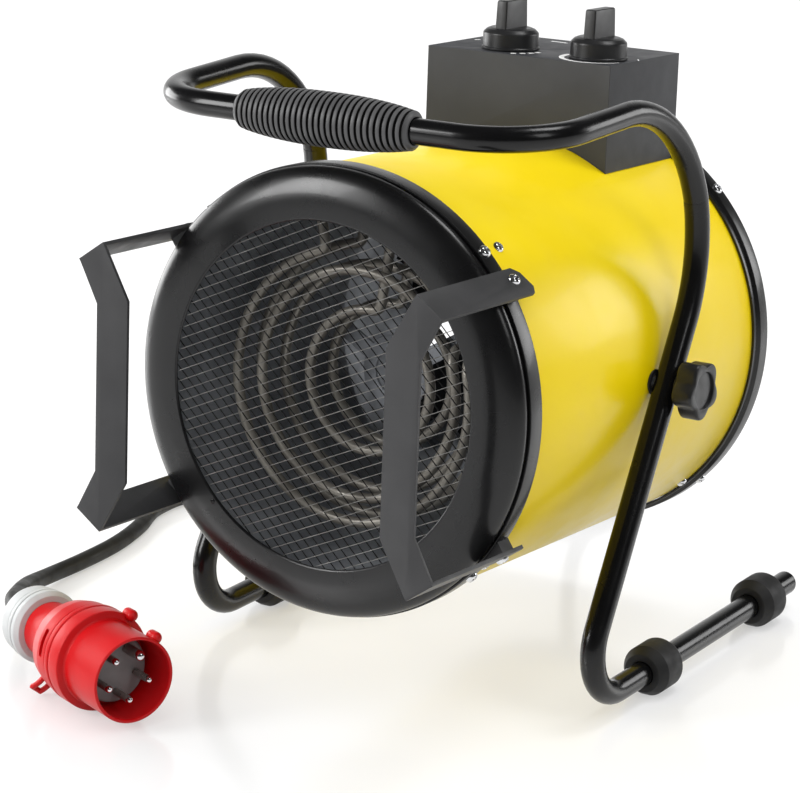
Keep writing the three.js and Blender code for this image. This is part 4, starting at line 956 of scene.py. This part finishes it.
def make_hand_knobs():
    """Five-lobed clamping knobs with a round recess in the face."""
    outline = scalloped_outline()
    # shares of the head's thickness, then the outline's scale or the recess's radius there
    levels = [(0.0, 0.93), (0.05, 0.975), (0.12, 1.0), (0.84, 1.0), (0.93, 0.985), (0.98, 0.955), (1.0, 0.91)]
    recess = [(1.0, 13.3), (0.985, 12.9), (0.88, 12.7)]
    verts = []
    for along, size in levels:
        verts += [(along * HAND_KNOB_THICK, a * size, b * size) for a, b in outline]
    for along, r in recess:
        for a, b in outline:
            turn = math.atan2(b, a)
            verts.append((along * HAND_KNOB_THICK, r * math.cos(turn), r * math.sin(turn)))
    head = verts, closed_rings(len(levels) + len(recess), len(outline))
    hub = lathe([(0, -5.0), (8.2, -5.0), (9, -4.2), (9, 0.0), (0, 0.0)], 40, closed=False)
    hub = [(y, x, z) for x, y, z in hub[0]], hub[1]
    shape = together(head, hub)
    for side, sign in SIDES:
        place = Matrix.Translation((sign * HAND_KNOB_X * MM, PIVOT_Y * MM, PIVOT_HEIGHT * MM))
        place = place @ Matrix.Scale(sign, 4, (1, 0, 0)) @ Matrix.Scale(MM, 4)
        name = f"hand_knob_{side}"
        piece(f"{name}_grip", *shape, place, PLASTIC, name, "black_plastic", [name], 30)


make_hand_knobs()


# -------- knobs on the box
def make_box_knobs():
    """Round bases with a foot ring and a rounded shoulder, and an upright pointer bar on each."""
    profile = [(0, KNOB_GAP), (KNOB_R, KNOB_GAP, 0.3), (KNOB_R, KNOB_GAP + 1.3, 0.4)]
    profile += [(KNOB_R - 0.7, KNOB_GAP + 1.9, 0.2), (KNOB_R - 0.8, 12.0, 2.4), (KNOB_R - 3.4, 14.4, 1.2)]
    profile += [(14.5, 15.4, 0.6), (0, 15.6)]
    corner = 0.9
    levels = ((9.0, 4.5, 15.2), (33.4, 4.2, 13.9), (34.4, 4.0, 13.7), (35.0, 3.4, 13.1))
    bar = []
    for z, half, reach in levels:
        for sx, sy, turn in ((1, 1, 0), (-1, 1, 90), (-1, -1, 180), (1, -1, 270)):
            for k in range(5):
                x, _, y = polar(corner, 0, math.radians(turn + 22.5 * k))
                bar.append((sx * (half - corner) + x, sy * (reach - corner) + y, z))
    faces = closed_rings(len(levels), len(bar) // len(levels))
    for kind, x in KNOB_XS.items():
        base = lathe(rounded(profile, 0.6, 5, closed=False), 96, "Z", closed=False)
        place = DRUM @ Matrix.Translation((x, KNOB_Y, BOX_TOP))
        name = f"{kind}_knob"
        shape = together(base, (bar, faces))
        piece(f"{name}_cap", *shape, place, PLASTIC, name, "black_plastic", [name], 28)


def make_dial_marks():
    """White print on the box round the two knobs: a tapering arc, short ticks and dashes."""
    low, high = BOX_TOP + 0.05, BOX_TOP + 0.17
    switch, thermostat = KNOB_XS["switch"], KNOB_XS["thermostat"]

    def arc(x, radius, start, end, wide, narrow, last=None, steps=40):
        verts = []
        for k in range(steps + 1):
            t = k / steps
            a = math.radians(start + (end - start) * t)
            half = (wide + (narrow - wide) * t) / 2
            middle = radius + ((last or radius) - radius) * t
            for side, z in ((-half, low), (-half, high), (half, high), (half, low)):
                r = middle + side
                verts.append((x + r * math.cos(a), KNOB_Y + r * math.sin(a), z))
        return verts, closed_rings(steps + 1, 4)

    marks = [arc(thermostat, 26.4, 168, 338, 4.6, 0.9, 22.8), arc(thermostat, 28, 24, 40, 0.8, 0.8)]
    for turn in (-54, -39, -24, -9):
        marks.append(arc(switch, 25.4, turn - 4.5, turn + 4, 3.8, 3.2))
    marks.append(arc(switch, 59, 78, 91, 2.2, 2.2))
    marks.append(arc(switch, 49.8, 147, 152, 2.2, 2.2))
    piece("dial_marks", *together(*marks), DRUM, PRINT, "drum", "grey_plastic", (), 30)


make_box_knobs()
make_dial_marks()


# -------- screws
def screw_shape(head_r, head_h, shank_r, length):
    """A round-headed screw along +Y, seated at y = 0, with a cross cut into its head."""
    segments, rings = 64, 14
    bar, reach, depth = head_r * 0.17, head_r * 0.62, head_h * 0.5
    shank = [(0, -length), (shank_r, -length), (shank_r, 0), (head_r, 0)]
    verts, faces = lathe(shank, segments, closed=False)
    first = len(verts) - segments
    for k in range(1, rings + 1):
        r = head_r * (1 - k / rings)
        height = head_h * math.sqrt(max(0, 1 - (r / head_r) ** 2.6))
        for i in range(segments):
            x, _, z = polar(r, 0, 2 * math.pi * i / segments)
            cut = (abs(x) < bar and abs(z) < reach) or (abs(z) < bar and abs(x) < reach)
            verts.append((x, height - depth * cut, z))
    return verts, faces + ring_faces(first, rings + 1, segments)


def upright(seat, way, turn):
    """The place whose +Y points along a way, in drum millimetres."""
    lean = Vector((0, 1, 0)).rotation_difference(Vector(way)).to_matrix().to_4x4()
    return DRUM @ Matrix.Translation(seat) @ lean @ Matrix.Rotation(math.radians(turn), 4, "Y")


def middle_of(points):
    return sum(points, Vector()) / len(points)


def make_screws():
    """CAD's screws get finer heads on their own seats, found from the solids."""
    shape = screw_shape(4.4, 2.7, 2.0, SCREW_SHANK)
    to_drum = DRUM.inverted()
    for name in [n for n in NODES if "screw" in n]:
        obj = NODES[name]
        points = [to_drum @ (obj.matrix_world @ v.co) for v in obj.data.vertices]
        middle = middle_of(points)
        tip = max(points, key=lambda p: (p - middle).length)
        end = middle_of([p for p in points if (p - tip).length < SCREW_SHANK_ACROSS])
        head = middle_of([p for p in points if (p - end).length > SCREW_HEAD_FROM])
        way = (head - end).normalized()
        place = upright(end + way * SCREW_SHANK, way, 20)
        piece(f"{name}_head", *shape, place, CHROME_AND_TIP_HIGHLIGHT, "drum", "chrome_plate", [name], 30)


def make_small_screws():
    """Screws that only the looks have: one in the flat ring, and five on each side of the drum."""
    place = upright((-83.4, FLAT_RING_Y, -85.6), (0, -1, 0), 10)
    piece("ring_screw", *screw_shape(1.9, 0.8, 1.2, 0.6), place, GLOSS, "drum", "black_gloss_paint")
    small = screw_shape(4.0, 2.4, 1.6, 2.0)
    spots = (
        ("rear_upper", (107.2, 325.3, 107.2), REAR_BAND_R),
        ("rear_lower", (101.3, 308.2, -107.2), SHELL_R),
        ("rear_band_lower", (107.2, 325.3, -107.2), REAR_BAND_R),
        ("shell_upper", (102.5, 33.7, 106.1), SHELL_R),
        ("shell_lower", (102.5, 33.7, -106.1), SHELL_R),
    )
    for side, sign in SIDES:
        for label, (x, y, z), radius in spots:
            way = Vector((sign * x, 0, z)).normalized()
            place = upright(way * radius + Vector((0, y, 0)), way, 35)
            name = f"{label}_screw_{side}"
            piece(name, *small, place, CHROME_AND_TIP_HIGHLIGHT, "drum", "chrome_plate", (), 30)


make_screws()
make_small_screws()
for name in NODES:
    if "stud" in name or "pivot_nut" in name:
        keep_node(name, STEEL, 0.2, 40)
    if "pivot_spacer" in name:
        keep_node(name, PLASTIC, 0.2, 40)


# -------- plug
def plug_spot(radius, turn, y):
    """A point round the plug's axis, turned from its top towards its +X side, as the CAD turns its lugs."""
    a = math.radians(turn)
    return Vector((radius * math.sin(a), y, radius * math.cos(a)))


def capsule(length, radius):
    """A round-ended rod along Y, middle at the origin."""
    end = []
    for k in range(9):
        a = math.radians(10 * k)
        end.append((radius * math.sin(a), length / 2 - radius + radius * math.cos(a)))
    return lathe([(r, -y) for r, y in end] + end[::-1], 28, closed=False)


def turned(profile, segments):
    """A lathed solid whose profile starts and ends on the axis."""
    return lathe(rounded(profile, 0.6, 4, closed=False), segments, closed=False)


def make_plug_nut():
    """The grey gland nut, with three rings round it."""
    rings = [(0, 0.3), (15, 0.3, 1.0), (22.6, 2.8, 1.6), (24.6, 7.5, 1.5), (25.0, 15.6, 0.8)]
    rings += [(23.6, 16.0, 0.3), (23.6, 17.0, 0.3), (25.9, 17.4, 0.7), (25.9, 20.6, 0.7)]
    rings += [(24.4, 21.0, 0.3), (24.4, 22.0, 0.3), (26.2, 22.4, 0.7), (26.2, 26.2, 0.9)]
    rings += [(23.6, PLUG_NUT - 0.4, 0.8), (0, PLUG_NUT - 0.4)]
    shape = turned(rings, 128)
    return piece("plug_nut_rings", *shape, PLUG, GREY, "stand", "grey_plastic", ["plug_gland_nut"], 34)


def make_plug_shell():
    """The red shell: a neck, a ringed collar with a slot in it, an open barrel, two lugs and a latch."""
    collar, end = PLUG_COLLAR, PLUG_LENGTH
    low, high = PLUG_SLOT_Y
    shell = [(0, PLUG_NUT), (19.6, PLUG_NUT, 0.4), (20.4, 52.5, 2.5), (24.5, 55.5, 2.0), (30.5, 62.5, 5.0)]
    shell += [(33.4, 74, 4.0), (33.5, low - 0.1, 0.01), (33.5, low, 0.01)]
    shell += [(33.7, high, 0.01), (33.7, high + 0.1, 0.01)]
    shell += [(33.8, 84.0, 0.5), (32.9, 84.5, 0.3), (32.9, 86.0, 0.3), (35.1, 86.8, 0.8), (35.1, 90.5, 0.6)]
    shell += [(34.1, 91.0, 0.3), (34.1, 92.2, 0.3), (35.1, 92.8, 0.6), (35.1, collar - 0.8, 1.0)]
    shell += [(30.6, collar, 0.8), (29.6, collar + 1.2, 1.0), (29.9, end - 0.2, 0.9), (28.0, end, 0.8)]
    shell += [(27.4, end - 1.6, 0.6), (27.3, 111.4, 0.6), (0, 111.0)]
    verts, faces = turned(shell, 160)
    for k, (x, y, z) in enumerate(verts):
        turn = math.degrees(math.atan2(x, z))
        inside = low - 0.05 < y < high + 0.05 and PLUG_SLOT_TURN[0] < turn < PLUG_SLOT_TURN[1]
        if inside and math.hypot(x, z) > 33:
            verts[k] = (x * 0.93, y, z * 0.93)
    parts = [(verts, faces)]
    for turn, y, reach in ((-38.7, 103.5, 36.4), (-41, end - 8.5, 31.6)):
        parts.append(shifted(capsule(13, 4.2), *plug_spot(reach, turn, y)))
    for side in (-1, 1):
        arm = []
        for k in range(15):
            t = k / 14
            arm.append(plug_spot(-(28.5 + 11.0 * t), -40, 61.5 - 5.5 * t**2) + plug_spot(3.6 * side, 50, 0))
        parts.append(sweep(arm, 2.0, 16))
    hook = [plug_spot(-39.2, -40, 56) + plug_spot(4.6 * f, 50, 0) for f in (-1, -0.5, 0, 0.5, 1)]
    parts.append(sweep(hook, 1.9, 16))
    return piece("plug_shell", *together(*parts), PLUG, RED, "stand", "red_plastic", ["plug_body"], 34)


def make_plug_insert():
    """The disc at the bottom of the barrel, and five pins with rounded ends painted bright as a highlight,
    one of them thicker.
    """
    floor_disc = [(0, 111.3), (23.4, 111.3, 0.4), (23.4, 121.2, 1.0), (22.0, 121.6, 0.4), (0, 121.6)]
    pins = []
    tips = []
    for k, r in enumerate(PIN_RADII):
        at = polar(PIN_CIRCLE_R, 0, math.radians(PIN_FIRST_TURN + 360 / len(PIN_RADII) * k))
        top = PIN_TIP - r - 1.2
        pins.append(shifted(lathe([(0, PIN_FOOT), (r, PIN_FOOT), (r, top), (0, top)], 32, closed=False), *at))
        dome = [(0, top + 0.2), (r, top + 0.2)]
        for b in (0, 0.26, 0.52, 0.79, 1.05, 1.31):
            dome.append((r * math.cos(b), PIN_TIP - r + r * math.sin(b)))
        tips.append(shifted(lathe(dome + [(0, PIN_TIP)], 32, closed=False), *at))
    made = []
    shapes = {"disc": (turned(floor_disc, 96), INSERT), "pins": (together(*pins), PIN)}
    # Painted highlight: the pins' rounded ends get bright chrome, while the shafts of the same metal stay
    # duller.
    shapes["tips"] = (together(*tips), CHROME_AND_TIP_HIGHLIGHT)
    for label, (shape, mat) in shapes.items():
        name = f"plug_insert_{label}"
        made.append(piece(name, *shape, PLUG, mat, "stand", "insert_plastic", ["plug_insert"], 34))
    return made


plug_pieces = [make_plug_nut(), make_plug_shell()] + make_plug_insert()


# -------- staging
BRIGHT_SIDE = Vector((-0.35, -0.5, 0.8)).normalized()
AWAY = Vector((-0.5, 0.85, 0.0)).normalized()
WHITE = (1, 1, 1, 1)
FLOOR_GLOW = 0.45                   # share of white that the floor shows by itself
FLOOR_HALF = 9


def make_lamp(name, place, aim, size, power):
    """A soft box that points at a height above the middle of the floor."""
    data = bpy.data.lights.new(name, "AREA")
    data.shape = "RECTANGLE"
    data.size, data.size_y = size
    data.energy = power
    lamp = add_object(name, data)
    lamp.location = place
    lamp.rotation_euler = (Vector((0, 0, aim)) - Vector(place)).to_track_quat("-Z", "Y").to_euler()
    return lamp


def direction_fade(tree, towards, low, high, dim, bright):
    """Goes from dim to bright as a ray turns towards a direction."""
    way = node(tree, "ShaderNodeTexCoord")
    facing = node(tree, "ShaderNodeVectorMath", operation="DOT_PRODUCT")
    facing.inputs[1].default_value = towards
    fade = map_range(tree, low, high, dim, bright)
    fade.interpolation_type = "SMOOTHSTEP"
    wire(tree, way, "Generated", facing, 0)
    wire(tree, facing, "Value", fade, "Value")
    return fade


def make_world():
    """White behind the object, also where shiny surfaces mirror it. The rest of the room is dark in mirrors,
    and lights the object more from the front left and overhead."""
    world = bpy.data.worlds.new("studio")
    world.use_nodes = True
    tree = world.node_tree
    room = tree.nodes["Background"]
    room.inputs["Color"].default_value = WHITE
    seen = node(tree, "ShaderNodeBackground", Color=WHITE, Strength=1.0)
    mirrored = node(tree, "ShaderNodeBackground", Color=WHITE)
    rays = node(tree, "ShaderNodeLightPath")
    shine = node(tree, "ShaderNodeMixShader")
    mix = node(tree, "ShaderNodeMixShader")
    wire(tree, direction_fade(tree, BRIGHT_SIDE, -0.7, 0.9, 0.3, 1.0), "Result", room, "Strength")
    wire(tree, direction_fade(tree, AWAY, 0.7, 0.97, 0.03, 0.9), "Result", mirrored, "Strength")
    wire(tree, rays, "Is Glossy Ray", shine, "Fac")
    wire(tree, room, "Background", shine, 1)
    wire(tree, mirrored, "Background", shine, 2)
    wire(tree, rays, "Is Camera Ray", mix, "Fac")
    wire(tree, shine, "Shader", mix, 1)
    wire(tree, seen, "Background", mix, 2)
    wire(tree, mix, "Shader", tree.nodes["World Output"], "Surface")
    bpy.context.scene.world = world


def make_floor():
    """A polished white floor. Straight views and mirrored ones also see a plain white under its own light."""
    mat, tree, polish = new_material("studio_floor")
    polish.inputs["Base Color"].default_value = (0.5, 0.5, 0.5, 1)
    polish.inputs["Roughness"].default_value = 0.16
    plain = node(tree, "ShaderNodeEmission", Color=WHITE)
    rays = node(tree, "ShaderNodeLightPath")
    straight = node(tree, "ShaderNodeMath", operation="ADD")
    either = node(tree, "ShaderNodeMath", operation="ADD")
    share = node(tree, "ShaderNodeMath", operation="MULTIPLY")
    share.inputs[1].default_value = FLOOR_GLOW
    both = node(tree, "ShaderNodeAddShader")
    wire(tree, rays, "Is Camera Ray", straight, 0)
    wire(tree, rays, "Is Glossy Ray", straight, 1)
    wire(tree, straight, "Value", either, 0)
    wire(tree, rays, "Is Transmission Ray", either, 1)
    wire(tree, either, "Value", share, 0)
    wire(tree, share, "Value", plain, "Strength")
    wire(tree, polish, "BSDF", both, 0)
    wire(tree, plain, "Emission", both, 1)
    wire(tree, both, "Shader", tree.nodes["Material Output"], "Surface")
    data = bpy.data.meshes.new("studio_floor")
    far = FLOOR_HALF
    data.from_pydata([(-far, -far, 0), (far, -far, 0), (far, far, 0), (-far, far, 0)], [], [(0, 1, 2, 3)])
    data.materials.append(mat)
    return add_object("studio_floor", data)


make_world()
floor = make_floor()
lamps = [
    make_lamp("key", (-1.7, -2.1, 1.4), 0.22, (0.9, 1.3), 48),
    make_lamp("left", (-2.0, 0.15, 0.48), 0.3, (1.1, 0.8), 16),
    make_lamp("side", (2.1, -0.5, 1.7), 0.25, (0.6, 1.0), 7),
    make_lamp("top", (0.7, 0.7, 2.5), 0.2, (0.8, 0.8), 16),
    make_lamp("rim", (1.35, 1.9, 0.7), 0.25, (0.9, 0.8), 11),
]

bpy.context.scene.view_settings.view_transform = "Standard"
